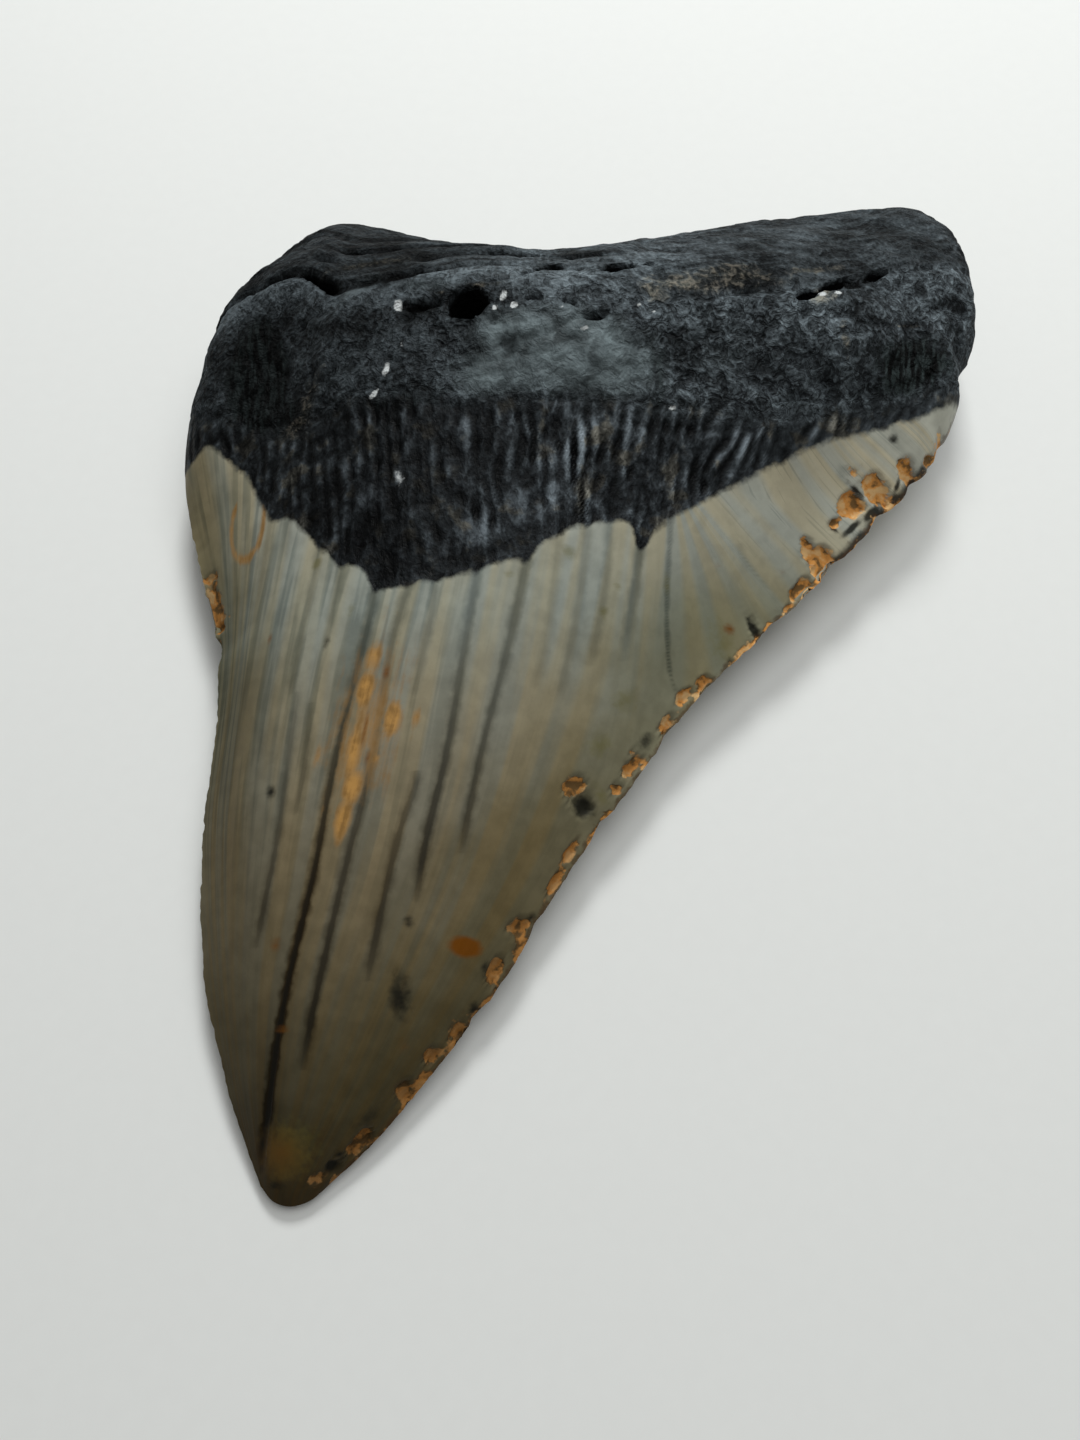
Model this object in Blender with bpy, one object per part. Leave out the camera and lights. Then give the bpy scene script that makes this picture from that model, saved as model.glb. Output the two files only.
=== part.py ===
"""Fossil tooth of a very large shark: one solid, lying on its flat outer face.

Frame: +Z up, the surface it lies on at z = 0, +Y from the tip towards the root, +X to the right
seen from above. The origin is under the middle of the tooth. Lengths are in millimetres up to
build_mesh, which multiplies them by MM.

The tooth is two sheets over one plan, the inner (upper) face and the outer (lower) face, which
share one rim: the tip, the two cutting edges, the ends of the root and the root's basal margin.
Both sheets are functions of two numbers: across, 0 on the left rim and 1 on the right, and along,
0 at the tip and 1 at the basal margin.
"""

import math

import bmesh
import bpy
import numpy as np

MM = 0.001

# Mesh size: the sheets are worked out finely, then reduced where they are plain.
COLUMNS = 150
ROWS = 160
TRIANGLES = 8800
RIM_CROWDING = 0.72  # share by which grid lines draw together near the rim
FLAT_WITHIN = 0.02  # lower points than this rest on the surface

# Rim in plan (x, y), from the tip to the root.
LEFT_EDGE = (
    (-29.6, -52.0), (-31.6, -47.6), (-33.8, -42.0), (-36.3, -33.0), (-37.5, -21.0),
    (-37.3, -9.4), (-38.3, -0.7), (-40.8, 7.5), (-42.9, 15.5), (-43.4, 21.8),
    (-42.7, 27.5), (-41.8, 33.0), (-39.3, 38.2),
)
RIGHT_EDGE = (
    (-24.2, -52.4), (-19.6, -48.2), (-15.0, -42.9), (-8.8, -35.1), (-3.3, -26.1),
    (4.4, -15.5), (10.6, -7.3), (20.2, 1.8), (29.3, 11.0), (36.3, 18.4),
    (40.1, 25.4), (40.6, 29.2), (43.0, 33.6), (43.4, 40.0), (43.0, 46.4),
)
TIP_END = ((-29.6, -52.0), (-28.4, -53.2), (-26.9, -53.6), (-25.3, -53.2), (-24.2, -52.4))
BASAL_MARGIN = (
    (-39.3, 38.2), (-37.4, 42.0), (-34.4, 45.7), (-30.6, 48.6), (-26.0, 49.6),
    (-17.8, 46.4), (-9.7, 43.3), (-3.2, 42.3), (3.8, 43.9), (13.1, 47.0),
    (23.7, 50.5), (33.3, 53.1), (38.4, 53.4), (41.9, 50.8), (43.0, 46.4),
)

# How quickly the pull of the tip, of the basal margin and of its height dies out along the tooth.
TIP_PULL = 9
MARGIN_PULL = 2.6
MARGIN_HEIGHT_PULL = 4

# Rim height along the tooth (along, z) and along the basal margin (across, z).
LEFT_RIM_HEIGHT = ((0.0, 1.6), (0.2, 3.2), (0.5, 4.5), (0.75, 6.0), (0.88, 7.2), (1.0, 7.8))
RIGHT_RIM_HEIGHT = ((0.0, 1.6), (0.2, 3.4), (0.5, 5.6), (0.72, 6.8), (0.85, 7.4), (1.0, 8.2))
MARGIN_RIM_HEIGHT = ((0.0, 7.8), (0.15, 8.0), (0.45, 9.6), (0.6, 9.4), (0.85, 8.0), (1.0, 8.2))

# Inner face: height of its crest over the rim, and how it falls off to each side.
CREST_HEIGHT = (
    (0.0, 0.0), (0.02, 0.9), (0.08, 2.7), (0.2, 5.0), (0.35, 7.5), (0.5, 9.8),
    (0.62, 11.6), (0.72, 13.2), (0.84, 15.4), (0.92, 15.2), (1.0, 14.2),
)
CREST_PLACE = ((0.0, 0.45), (0.3, 0.43), (0.6, 0.38), (0.8, 0.42), (1.0, 0.45))
# Exponents of the sections, for the left side and the right side: lens-shaped in the crown, full
# and round-shouldered in the root.
CROWN_FALL = ((2.0, 1.25), (2.1, 1.25))
ROOT_FALL = ((2.0, 0.72), (2.6, 0.62))
ROOT_FALL_FROM = 0.66
ROOT_FALL_TO = 0.84
LEDGE_ALONG = (
    (0.0, 0.91), (0.1, 0.875), (0.25, 0.855), (0.5, 0.855), (0.7, 0.83), (0.85, 0.835), (1.0, 0.90),
)
LEDGE_GROOVE = (0.012, 0.45)  # half width as a share of the length, depth
BASAL_FALL = (1.3, 0.55)

# Outer face: depth under the rim. It is cut flat where it would pass through the surface.
OUTER_DEPTH = (
    (0.0, 0.0), (0.03, 1.0), (0.1, 2.5), (0.25, 4.3), (0.4, 5.1), (0.6, 4.9),
    (0.72, 6.6), (0.82, 9.8), (0.92, 10.8), (1.0, 10.8),
)
OUTER_CREST_PLACE = 0.5
OUTER_CROWN_FALL = ((2.4, 0.95), (2.4, 0.95))
OUTER_ROOT_FALL = ((3.2, 0.5), (3.2, 0.5))
OUTER_BASAL_FALL = (14.0, 0.5)
OUTER_HOLLOW = (0.0, 24.0, 15.0, 11.0, 1.9)  # x, y, reach in x, reach in y, rise
HOLLOW_RAMP = 4.0  # depth under the rim by which the hollow has its full rise

# Lower edge of the dark bourlette on the inner face, where the enamel begins, left to right.
ENAMEL_EDGE = (
    (-44.0, 20.6), (-41.0, 20.0), (-37.3, 17.2), (-34.8, 15.2), (-33.4, 12.2), (-31.7, 9.2),
    (-29.9, 8.8), (-28.5, 7.6), (-25.8, 4.8), (-24.7, 2.3), (-22.6, 1.3), (-19.8, -1.3),
    (-14.4, -0.8), (-11.1, 0.3), (-8.7, 1.9), (-6.5, 1.7), (-4.1, 4.7), (-1.3, 5.8),
    (2.9, 6.6), (4.6, 4.8), (6.3, 6.3), (8.8, 7.9), (14.9, 11.8), (23.2, 16.9),
    (28.6, 19.2), (34.3, 21.9), (41.0, 26.0),
)
BOURLETTE_TOP = (
    (-44.0, 23.6), (-34.9, 18.9), (-28.9, 16.4), (-24.4, 17.4), (-11.8, 16.5), (5.3, 16.9),
    (15.7, 17.6), (21.5, 19.2), (33.1, 22.8), (41.0, 26.8),
)
ENAMEL_STEP = 0.45
STEP_WIDTH = 1.4
RELIEF_RAMP = 4.0  # height over the rim by which relief has its full depth
BAND_FADE = 2.5  # over which the ridges of the band die out at its upper limit
RIDGE_PITCH = 2.4
RIDGE_HEIGHT = 0.14
RIDGE_LEAN = 0.12

# Pits and swellings of the inner face: x, y, reach in x, reach in y, turn in degrees, rise.
MOULDING = (
    (-12.1, 26.0, 2.6, 1.7, 0, -4.6),  # nutrient foramen
    (-9.6, 25.0, 1.6, 1.0, -30, -1.6),
    (-16.4, 26.7, 3.4, 0.9, -12, -0.9),
    (-3.3, 25.8, 4.5, 0.8, -10, -0.5),
    (-27.5, 33.4, 3.8, 0.9, -36, -1.5),  # slits along the ledge
    (-5.0, 30.9, 3.0, 0.9, -14, -1.6),
    (2.4, 30.7, 2.2, 1.0, 0, -1.3),
    (12.5, 30.0, 9.0, 1.4, 0, -0.7),
    (22.2, 29.9, 4.0, 0.9, 24, -1.1),
    (28.2, 34.0, 4.0, 0.9, 38, -1.0),
    (-34.0, 25.5, 5.5, 8.0, 12, -1.2),  # broad hollows and swellings
    (-24.0, 23.5, 5.0, 6.0, 20, 0.8),
    (-4.0, 22.5, 8.0, 4.5, 0, 0.9),
    (14.0, 23.5, 8.0, 4.0, 8, -0.8),
    (25.0, 27.0, 7.0, 4.5, 20, 0.9),
    (34.0, 32.0, 5.0, 6.0, 30, -0.6),
    (-10.0, 37.5, 12.0, 2.2, 4, 0.5),
    (30.5, 45.0, 8.0, 2.0, 8, -0.6),
    (-31.0, 42.0, 6.0, 1.6, 8, -0.7),
    (33.6, 17.0, 2.4, 1.6, 45, -0.6),  # shell-shaped breaks by the right cutting edge
    (28.6, 13.2, 3.0, 2.0, 45, -0.7),
    (24.2, 7.6, 2.6, 1.7, 45, -0.7),
    (20.6, 3.9, 1.6, 1.2, 45, -0.5),
    (16.2, 0.4, 2.0, 1.4, 45, -0.7),
    (-1.6, -18.8, 1.8, 1.5, 45, -0.6),
)

# Long cracks of the enamel: half width, depth and the points that each runs through.
CRACK_FADE = 2.0  # length over which a crack closes at its ends
CRACKS = (
    (0.5, 0.4, ((-20.3, -3.5), (-24.8, -18.0), (-27.6, -32.0), (-28.6, -44.0))),
    (0.5, 0.3, ((-17.2, -3.5), (-20.4, -14.0), (-24.3, -29.0), (-27.0, -41.0))),
    (0.4, 0.25, ((-11.0, -1.5), (-12.9, -10.0), (-15.0, -20.0), (-18.4, -31.0))),
    (0.4, 0.25, ((-6.4, 0.0), (-8.2, -8.0), (-11.0, -18.0))),
)

# Bites out of the cutting edges: along, reach along the edge, depth into the plan.
RIGHT_BITES = (
    (0.16, 0.008, 0.4), (0.24, 0.008, 0.3), (0.33, 0.010, 0.4), (0.42, 0.008, 0.3),
    (0.55, 0.009, 0.4), (0.63, 0.008, 0.4), (0.69, 0.010, 0.6), (0.735, 0.008, 0.5),
    (0.78, 0.008, 0.4),
)
LEFT_BITES = ((0.55, 0.012, 0.5),)
BITE_PULL = 30
INTO_RIGHT_EDGE = (-0.77, 0.64)
INTO_LEFT_EDGE = (1, 0)

SHARP_DEGREES = 50


def curve(points, count=60):
    """Points of a smooth curve through the given ones: uniform Catmull-Rom spans."""
    points = np.array(points, float)
    padded = np.vstack([2 * points[0] - points[1], points, 2 * points[-1] - points[-2]])
    t = np.linspace(0, 1, count, endpoint=False)[:, None]
    spans = [
        0.5 * (2 * b + (c - a) * t + (2 * a - 5 * b + 4 * c - d) * t**2 + (3 * b - a - 3 * c + d) * t**3)
        for a, b, c, d in zip(padded, padded[1:], padded[2:], padded[3:])
    ]
    return np.vstack(spans + [points[-1:]])


def along_curve(points, share):
    """Points on the smooth curve at the given shares of its length."""
    fine = curve(points)
    length = np.concatenate([[0], np.cumsum(np.linalg.norm(np.diff(fine, axis=0), axis=1))])
    share = np.asarray(share) * length[-1]
    return np.stack([np.interp(share, length, fine[:, axis]) for axis in (0, 1)], axis=-1)


def height_at(points, place):
    """Height of a smooth profile, given as (place, height) points, at each place."""
    fine = curve(points)
    return np.interp(place, fine[:, 0], fine[:, 1])


def smooth_step(low, high, value):
    """0 below low, 1 above high, and an S-shaped rise between."""
    t = np.clip((value - low) / (high - low), 0, 1)
    return t * t * (3 - 2 * t)


def crowded(count):
    """Grid places from 0 to 1 that draw together towards both ends."""
    t = np.linspace(0, 1, count + 1)
    return t - RIM_CROWDING * np.sin(2 * math.pi * t) / (2 * math.pi)


def bite_depth(along, bites):
    """How far small bites go into a cutting edge at each place along it."""
    return sum(deep * np.exp(-(((along - at) / reach) ** 2)) for at, reach, deep in bites)


def plan(across, along):
    """x and y of the grid: straight lines from edge to edge, bent to follow the tip and the margin."""
    left = along_curve(LEFT_EDGE, along)
    right = along_curve(RIGHT_EDGE, along)
    u = across[None, :, None]
    v = along[:, None, None]
    straight = (1 - u) * left[:, None] + u * right[:, None]
    tip = along_curve(TIP_END, across)[None] - straight[:1]
    margin = along_curve(BASAL_MARGIN, across)[None] - straight[-1:]
    bent = straight + tip * (1 - v) ** TIP_PULL + margin * v**MARGIN_PULL
    bent = bent + bite_depth(v, LEFT_BITES) * (1 - u) ** BITE_PULL * np.array(INTO_LEFT_EDGE)
    bent = bent + bite_depth(v, RIGHT_BITES) * u**BITE_PULL * np.array(INTO_RIGHT_EDGE)
    return bent[..., 0], bent[..., 1]


def rim_height(across, along):
    """Height of the rim, carried smoothly across the plan."""
    left = height_at(LEFT_RIM_HEIGHT, along)[:, None]
    right = height_at(RIGHT_RIM_HEIGHT, along)[:, None]
    u = across[None]
    straight = (1 - u) * left + u * right
    margin = height_at(MARGIN_RIM_HEIGHT, across)[None] - straight[-1:]
    return straight + margin * along[:, None] ** MARGIN_HEIGHT_PULL


def side_fall(across, place, crown, root, rootward):
    """1 on the crest and 0 on the side rims, lens-shaped in the crown and round in the root."""
    u = across[None]
    to_left = np.clip((place - u) / place, 0, 1)
    to_right = np.clip((u - place) / (1 - place), 0, 1)
    fall = 1.0
    for side, lens, full in zip((to_left, to_right), crown, root):
        thin = (1 - side ** lens[0]) ** lens[1]
        thick = (1 - side ** full[0]) ** full[1]
        fall = fall * (thin + (thick - thin) * rootward)
    return fall


def mouldings(x, y, features):
    """Sum of the soft pits and swellings at each point."""
    total = np.zeros_like(x)
    for cx, cy, reach_x, reach_y, turn, rise in features:
        cos = math.cos(math.radians(turn))
        sin = math.sin(math.radians(turn))
        a = ((x - cx) * cos + (y - cy) * sin) / reach_x
        b = ((y - cy) * cos - (x - cx) * sin) / reach_y
        total += rise * np.exp(-((a * a + b * b) ** 1.5))
    return total


def crack_depth(x, y):
    """Depth of the enamel's cracks: narrow V-shaped grooves along their curves."""
    depth = np.zeros_like(x)
    for width, deep, points in CRACKS:
        line = curve(points)[::-1]
        off = np.abs(x - np.interp(y, line[:, 1], line[:, 0]))
        lower = smooth_step(0, CRACK_FADE, y - line[0, 1])
        upper = smooth_step(0, CRACK_FADE, line[-1, 1] - y)
        depth += deep * np.clip(1 - off / width, 0, 1) * lower * upper
    return depth


def inner_face(x, y, across, along, rim):
    """Height of the upper sheet."""
    v = along[:, None]
    rootward = smooth_step(ROOT_FALL_FROM, ROOT_FALL_TO, v)
    place = height_at(CREST_PLACE, along)[:, None]
    crest = height_at(CREST_HEIGHT, along)[:, None]
    ledge = height_at(LEDGE_ALONG, across)[None]
    past = np.clip((v - ledge) / (1 - ledge), 0, 1)
    basal = (1 - past ** BASAL_FALL[0]) ** BASAL_FALL[1]
    over_rim = crest * side_fall(across, place, CROWN_FALL, ROOT_FALL, rootward) * basal
    from_edge = y - height_at(ENAMEL_EDGE, x)
    enamel = 1 - smooth_step(-STEP_WIDTH / 2, STEP_WIDTH / 2, from_edge)
    below_top = height_at(BOURLETTE_TOP, x) - y
    band = smooth_step(0, STEP_WIDTH, from_edge) * smooth_step(0, BAND_FADE, below_top)
    ridges = RIDGE_HEIGHT * band * np.cos(2 * math.pi * (x - RIDGE_LEAN * y) / RIDGE_PITCH)
    groove = LEDGE_GROOVE[1] * np.exp(-(((v - ledge) / LEDGE_GROOVE[0]) ** 2))
    relief = ENAMEL_STEP * enamel + ridges - groove + mouldings(x, y, MOULDING)
    relief = relief - crack_depth(x, y) * enamel
    inside = smooth_step(0, RELIEF_RAMP, over_rim)
    return rim + over_rim + relief * inside


def outer_face(x, y, across, along, rim):
    """Height of the lower sheet, flat where it rests."""
    v = along[:, None]
    rootward = smooth_step(ROOT_FALL_FROM, ROOT_FALL_TO, v)
    depth = height_at(OUTER_DEPTH, along)[:, None]
    basal = (1 - v ** OUTER_BASAL_FALL[0]) ** OUTER_BASAL_FALL[1]
    fall = side_fall(across, OUTER_CREST_PLACE, OUTER_CROWN_FALL, OUTER_ROOT_FALL, rootward)
    under_rim = depth * fall * basal
    cx, cy, reach_x, reach_y, rise = OUTER_HOLLOW
    hollow = rise * np.exp(-(((x - cx) / reach_x) ** 2) - ((y - cy) / reach_y) ** 2)
    return np.maximum(rim - under_rim + hollow * np.clip(under_rim / HOLLOW_RAMP, 0, 1), 0)


def build_mesh():
    """The closed surface of the tooth: two sheets that share their rim."""
    across = crowded(COLUMNS)
    along = crowded(ROWS)
    x, y = plan(across, along)
    rim = rim_height(across, along)
    top = np.stack([x, y, inner_face(x, y, across, along, rim)], axis=-1)
    bottom = np.stack([x, y, outer_face(x, y, across, along, rim)], axis=-1)
    rows, columns = x.shape
    index = np.arange(rows * columns).reshape(rows, columns)
    under = index.copy()
    inside = (rows - 2) * (columns - 2)
    under[1:-1, 1:-1] = rows * columns + np.arange(inside).reshape(rows - 2, columns - 2)
    points = np.vstack([top.reshape(-1, 3), bottom[1:-1, 1:-1].reshape(-1, 3)])
    upper = np.stack([index[:-1, :-1], index[:-1, 1:], index[1:, 1:], index[1:, :-1]], axis=-1)
    lower = np.stack([under[:-1, :-1], under[1:, :-1], under[1:, 1:], under[:-1, 1:]], axis=-1)
    faces = np.vstack([upper.reshape(-1, 4), lower.reshape(-1, 4)])
    mesh = bpy.data.meshes.new("tooth")
    mesh.from_pydata((points * MM).tolist(), [], faces.tolist())
    return mesh


def thin_out(tooth):
    """Fewer triangles where the surface is plain, with the resting patches kept exactly flat."""
    modifier = tooth.modifiers.new("thin_out", "DECIMATE")
    modifier.ratio = TRIANGLES / (2 * len(tooth.data.polygons))
    graph = bpy.context.evaluated_depsgraph_get()
    reduced = bpy.data.meshes.new_from_object(tooth.evaluated_get(graph))
    tooth.modifiers.clear()
    tooth.data = reduced
    edit = bmesh.new()
    edit.from_mesh(reduced)
    for vertex in edit.verts:
        if vertex.co.z < FLAT_WITHIN * MM:
            vertex.co.z = 0
    bmesh.ops.triangulate(edit, faces=edit.faces)
    edit.to_mesh(reduced)
    edit.free()


def material(name, colour, roughness):
    """A plain mineral finish."""
    made = bpy.data.materials.new(name)
    made.use_nodes = True
    shader = made.node_tree.nodes["Principled BSDF"]
    shader.inputs["Base Color"].default_value = (*colour, 1)
    shader.inputs["Roughness"].default_value = roughness
    shader.inputs["Metallic"].default_value = 0
    return made


def dress(tooth):
    """Enamel on the crown and dark root above it, face by face."""
    mesh = tooth.data
    mesh.materials.append(material("enamel", (0.24, 0.23, 0.19), 0.4))
    mesh.materials.append(material("root", (0.018, 0.02, 0.024), 0.55))
    for face in mesh.polygons:
        x, y, _ = face.center / MM
        face.material_index = int(y > height_at(ENAMEL_EDGE, x))
    mesh.shade_smooth()
    mesh.set_sharp_from_angle(angle=math.radians(SHARP_DEGREES))


def main():
    for old in list(bpy.data.objects):
        bpy.data.objects.remove(old)
    tooth = bpy.data.objects.new("tooth", build_mesh())
    bpy.context.scene.collection.objects.link(tooth)
    thin_out(tooth)
    dress(tooth)


main()
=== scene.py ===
"""Looks of a large fossil shark tooth: its worked surface and its finish, on a plain table.

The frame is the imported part's: +Z up, the table at z = 0, +Y from the tip towards the root and +X
to the right seen from above. Lengths are in millimetres, and MM turns them into metres where a
mesh, a light or the camera is made.

The tooth is one closed mesh made of two sheets that share their rim: the inner face, which is
seen, on a fine grid, and the outer face, which it lies on, on every second line of that grid.
Grid places are two numbers: across, 0 on the left rim and 1 on the right, and along, 0 at the tip
and 1 at the basal margin.
"""

import functools
import itertools
import logging
import math
from dataclasses import dataclass
from enum import Enum
from typing import Callable

import bpy
import numpy as np
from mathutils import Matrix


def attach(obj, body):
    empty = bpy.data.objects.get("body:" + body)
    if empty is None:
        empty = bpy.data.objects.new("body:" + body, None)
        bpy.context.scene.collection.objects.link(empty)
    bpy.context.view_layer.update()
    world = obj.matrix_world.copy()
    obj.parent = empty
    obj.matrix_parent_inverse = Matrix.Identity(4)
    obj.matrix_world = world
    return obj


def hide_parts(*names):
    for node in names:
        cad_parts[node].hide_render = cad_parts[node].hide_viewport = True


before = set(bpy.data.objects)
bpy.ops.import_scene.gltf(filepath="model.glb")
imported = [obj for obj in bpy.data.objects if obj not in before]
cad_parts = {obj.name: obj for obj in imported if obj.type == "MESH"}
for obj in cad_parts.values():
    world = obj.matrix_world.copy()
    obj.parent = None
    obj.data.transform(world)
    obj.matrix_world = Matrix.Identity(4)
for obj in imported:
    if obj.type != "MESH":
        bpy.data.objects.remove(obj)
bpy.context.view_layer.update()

Array = np.ndarray
Points = tuple[tuple[float, ...], ...]
Pair = tuple[float, float]
Triple = tuple[float, float, float]
Colour = Triple
Stops = tuple[tuple[float, Colour], ...]
Socket = bpy.types.NodeSocket

MM = 0.001
LOG = logging.getLogger("tooth")


# ---------------------------------------------------------------- curves, steps and noise


def smooth_curve(points: Points, steps: int = 60) -> Array:
    """Points of a smooth curve through the given ones, by uniform Catmull-Rom spans.

    Args:
        points: the points that the curve runs through.
        steps: how many points each span gets.

    Returns:
        The curve's points, one row each.
    """
    given = np.array(points, float)
    padded = np.vstack([2 * given[0] - given[1], given, 2 * given[-1] - given[-2]])
    a, b, c, d = padded[:-3, None], padded[1:-2, None], padded[2:-1, None], padded[3:, None]
    t = np.linspace(0, 1, steps, endpoint=False)[None, :, None]
    bend = 2 * a - 5 * b + 4 * c - d
    twist = 3 * b - a - 3 * c + d
    spans = 0.5 * (2 * b + (c - a) * t + bend * t**2 + twist * t**3)
    return np.vstack([spans.reshape(-1, given.shape[1]), given[-1:]])


def along_curve(points: Points, share: Array) -> Array:
    """Points on the smooth curve at the given shares of its length.

    Args:
        points: the points that the curve runs through.
        share: places along it, from 0 to 1.

    Returns:
        One (x, y) for each place.
    """
    fine = smooth_curve(points)
    steps = np.linalg.norm(np.diff(fine, axis=0), axis=1)
    length = np.concatenate([[0], np.cumsum(steps)])
    place = np.asarray(share) * length[-1]
    return np.stack([np.interp(place, length, fine[:, axis]) for axis in (0, 1)], axis=-1)


def profile(points: Points, place: Array) -> Array:
    """Height of a smooth profile, given as (place, height) points, at each place."""
    fine = smooth_curve(points)
    return np.interp(place, fine[:, 0], fine[:, 1])


def smooth_step(low: float, high: float, value: Array) -> Array:
    """0 at low and before, 1 at high and past it, and an S-shaped rise 3t^2 - 2t^3 between."""
    t = np.clip((value - low) / (high - low), 0, 1)
    return t * t * (3 - 2 * t)


def spaced(count: int, density: Callable[[Array], Array]) -> Array:
    """Grid places from 0 to 1 that lie closer where the wanted density is higher.

    The density is summed into a rising curve, and the places are read off it at equal steps.

    Args:
        count: how many intervals the places bound.
        density: the wanted density at each place.

    Returns:
        count + 1 rising places.
    """
    fine = np.linspace(0, 1, 4001)
    wanted = density(fine)
    total = np.concatenate([[0], np.cumsum(wanted[1:] + wanted[:-1])])
    return np.interp(np.linspace(0, total[-1], count + 1), total, fine)


def lattice_noise(points: Array, seed: int) -> Array:
    """Smooth noise from -1 to 1 that is the same on each run.

    Each corner of a unit lattice gets a number scrambled from its place and the seed, and a point
    takes the mean of the eight corners round it, weighted by an S-curve along each axis.

    Args:
        points: places, as an array whose last axis is x, y, z in lattice units.
        seed: picks one of many different patterns.

    Returns:
        One number for each point.
    """
    cell = np.floor(points).astype(np.int64)
    part = points - cell
    ease = part * part * (3 - 2 * part)
    total = np.zeros(points.shape[:-1])
    for corner in itertools.product((0, 1), repeat=3):
        place = cell + np.array(corner)
        mixed = place[..., 0] * 374761393 + place[..., 1] * 668265263 + place[..., 2] * 974634777
        mixed = (mixed + seed * 1442695041) & 0xFFFFFFFF
        mixed = ((mixed ^ (mixed >> 13)) * 1274126177) & 0xFFFFFFFF
        value = ((mixed ^ (mixed >> 16)) & 0xFFFFFF) / 0x7FFFFF - 1
        total += value * np.prod(np.where(corner, ease, 1 - ease), axis=-1)
    return total


def flat_places(x: Array, y: Array) -> Array:
    """Places with the given x and y and with z = 0."""
    return np.stack([x, y, 0 * x], axis=-1)


@dataclass(frozen=True)
class Lattice:
    """Smooth noise of -height to height, over places that are taken at their own steps."""

    steps: Triple
    seed: int
    height: float = 1.0

    def at(self, places: Array) -> Array:
        """The noise at each place."""
        return self.height * lattice_noise(places * np.array(self.steps), self.seed)


@dataclass(frozen=True)
class Grain:
    """Layered noise of about -height to height, whose spots have a size in millimetres."""

    size: Triple
    seed: int
    height: float = 1.0
    layers: int = 3

    def at(self, points: Array) -> Array:
        """The noise at each place: each layer has half the size and height of the one before.

        Args:
            points: places in millimetres.

        Returns:
            One number for each place.
        """
        scaled = points / np.array(self.size)
        layers = (lattice_noise(scaled * 2**n, self.seed + n) / 2**n for n in range(self.layers))
        return self.height * (sum(layers) / (2 - 2 ** (1 - self.layers)))


def placed(made: bpy.types.Object) -> bpy.types.Object:
    """The object, added to the scene."""
    bpy.context.scene.collection.objects.link(made)
    return made


# ---------------------------------------------------------------- marks on the surface


class Mark(Enum):
    """Kinds of mark. The value names the mesh attribute that holds the kind's field."""

    DENTINE = "dentine"
    RUST = "rust"
    AMBER = "amber"
    # Black soot spots, and painted shadow between the wing's chips and in the gashes.
    SOOT_AND_SHADOW = "soot_and_shadow"
    OLIVE = "olive"
    TAN = "tan"
    CHALK = "chalk"
    # Paler grey zones of the root: partly the mineral's own colour, partly a painted sheen.
    SLATE_SHEEN = "slate_sheen"
    PITCH = "pitch"
    GLINT = "glint"


@dataclass(frozen=True)
class Spot:
    """One mark or hollow, an ellipse in plan.

    Its field is 1 at the centre, falls evenly to 0 on the ellipse and goes on falling outside.
    """

    x: float
    y: float
    reach_x: float
    reach_y: float
    turn: float = 0.0
    strength: float = 1.0
    depth: float = 0.0

    def radius(self, x: Array, y: Array) -> Array:
        """Distance from the centre, as a share of the ellipse's reach in that direction."""
        cos = math.cos(math.radians(self.turn))
        sin = math.sin(math.radians(self.turn))
        a = ((x - self.x) * cos + (y - self.y) * sin) / self.reach_x
        b = ((y - self.y) * cos - (x - self.x) * sin) / self.reach_y
        return np.hypot(a, b)

    def field(self, x: Array, y: Array) -> Array:
        """The mark's field: strength times (1 - radius)."""
        return self.strength * (1 - self.radius(x, y))


def spot_rows(*rows: tuple[float, ...]) -> tuple[Spot, ...]:
    """Spots from rows of x, y, reach in x and in y, turn, strength and, for breaks, depth."""
    return tuple(Spot(*row) for row in rows)


FIELD_FLOOR = -1.0  # lowest value of a mark's field, far from every spot
CRACK_REACH = 3.0  # millimetres past which a crack no longer shows
CRACK_FAINT = 0.15  # darkness below which it counts as further off
CRACK_SOFT = 0.05  # square millimetres that keep the weight of a distance of 0 finite
NO_BAND = -9.0  # stands for a place far past the band's top, on the face that has no band


@dataclass(frozen=True)
class Crack:
    """One long crack of the enamel, from the band down, and how dark it is at both ends."""

    dark_top: float
    dark_end: float
    points: Points
    middle: float = 0.0  # how much paler it is half way along
    fade: float = 5.0
    fade_above: float = 0.4  # share of the fade that lies above its upper end

    def offset(self, x: Array, y: Array) -> Array:
        """Signed distance to the crack's line: the sideways step times the line's cosine."""
        line = smooth_curve(self.points)[::-1]
        run = line[-1] - line[0]
        return (x - np.interp(y, line[:, 1], line[:, 0])) * run[1] / np.hypot(*run)

    def darkness(self, y: Array) -> Array:
        """How dark the crack is at each height, fading out at both ends."""
        top, end = self.points[0][1], self.points[-1][1]
        share = np.clip((top - y) / (top - end), 0, 1)
        above = smooth_step(-self.fade_above * self.fade, 0, top - y)
        ends = smooth_step(0, self.fade, y - end) * above
        straight = self.dark_top + (self.dark_end - self.dark_top) * share
        return (straight - 4 * self.middle * share * (1 - share)) * ends


def crack_field(cracks: tuple[Crack, ...], x: Array, y: Array) -> tuple[Array, Array]:
    """Distance to the nearest crack, and how dark the cracks are there.

    A crack counts as further off where it fades, so that it drops out without a jump, and each
    crack's darkness is weighted by the inverse fourth power of its distance.

    Args:
        cracks: the cracks.
        x: places across.
        y: places along.

    Returns:
        (distance in millimetres, darkness from 0 to about 1).
    """
    dark = np.stack([crack.darkness(y) for crack in cracks])
    offset = np.abs(np.stack([crack.offset(x, y) for crack in cracks]))
    reach = np.minimum(offset + CRACK_REACH * smooth_step(CRACK_FAINT, 0.0, dark), CRACK_REACH)
    weight = 1 / (reach**2 + CRACK_SOFT) ** 2
    return reach.min(axis=0), (weight * dark).sum(axis=0) / weight.sum(axis=0)


# ---------------------------------------------------------------- the tooth's form


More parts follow.
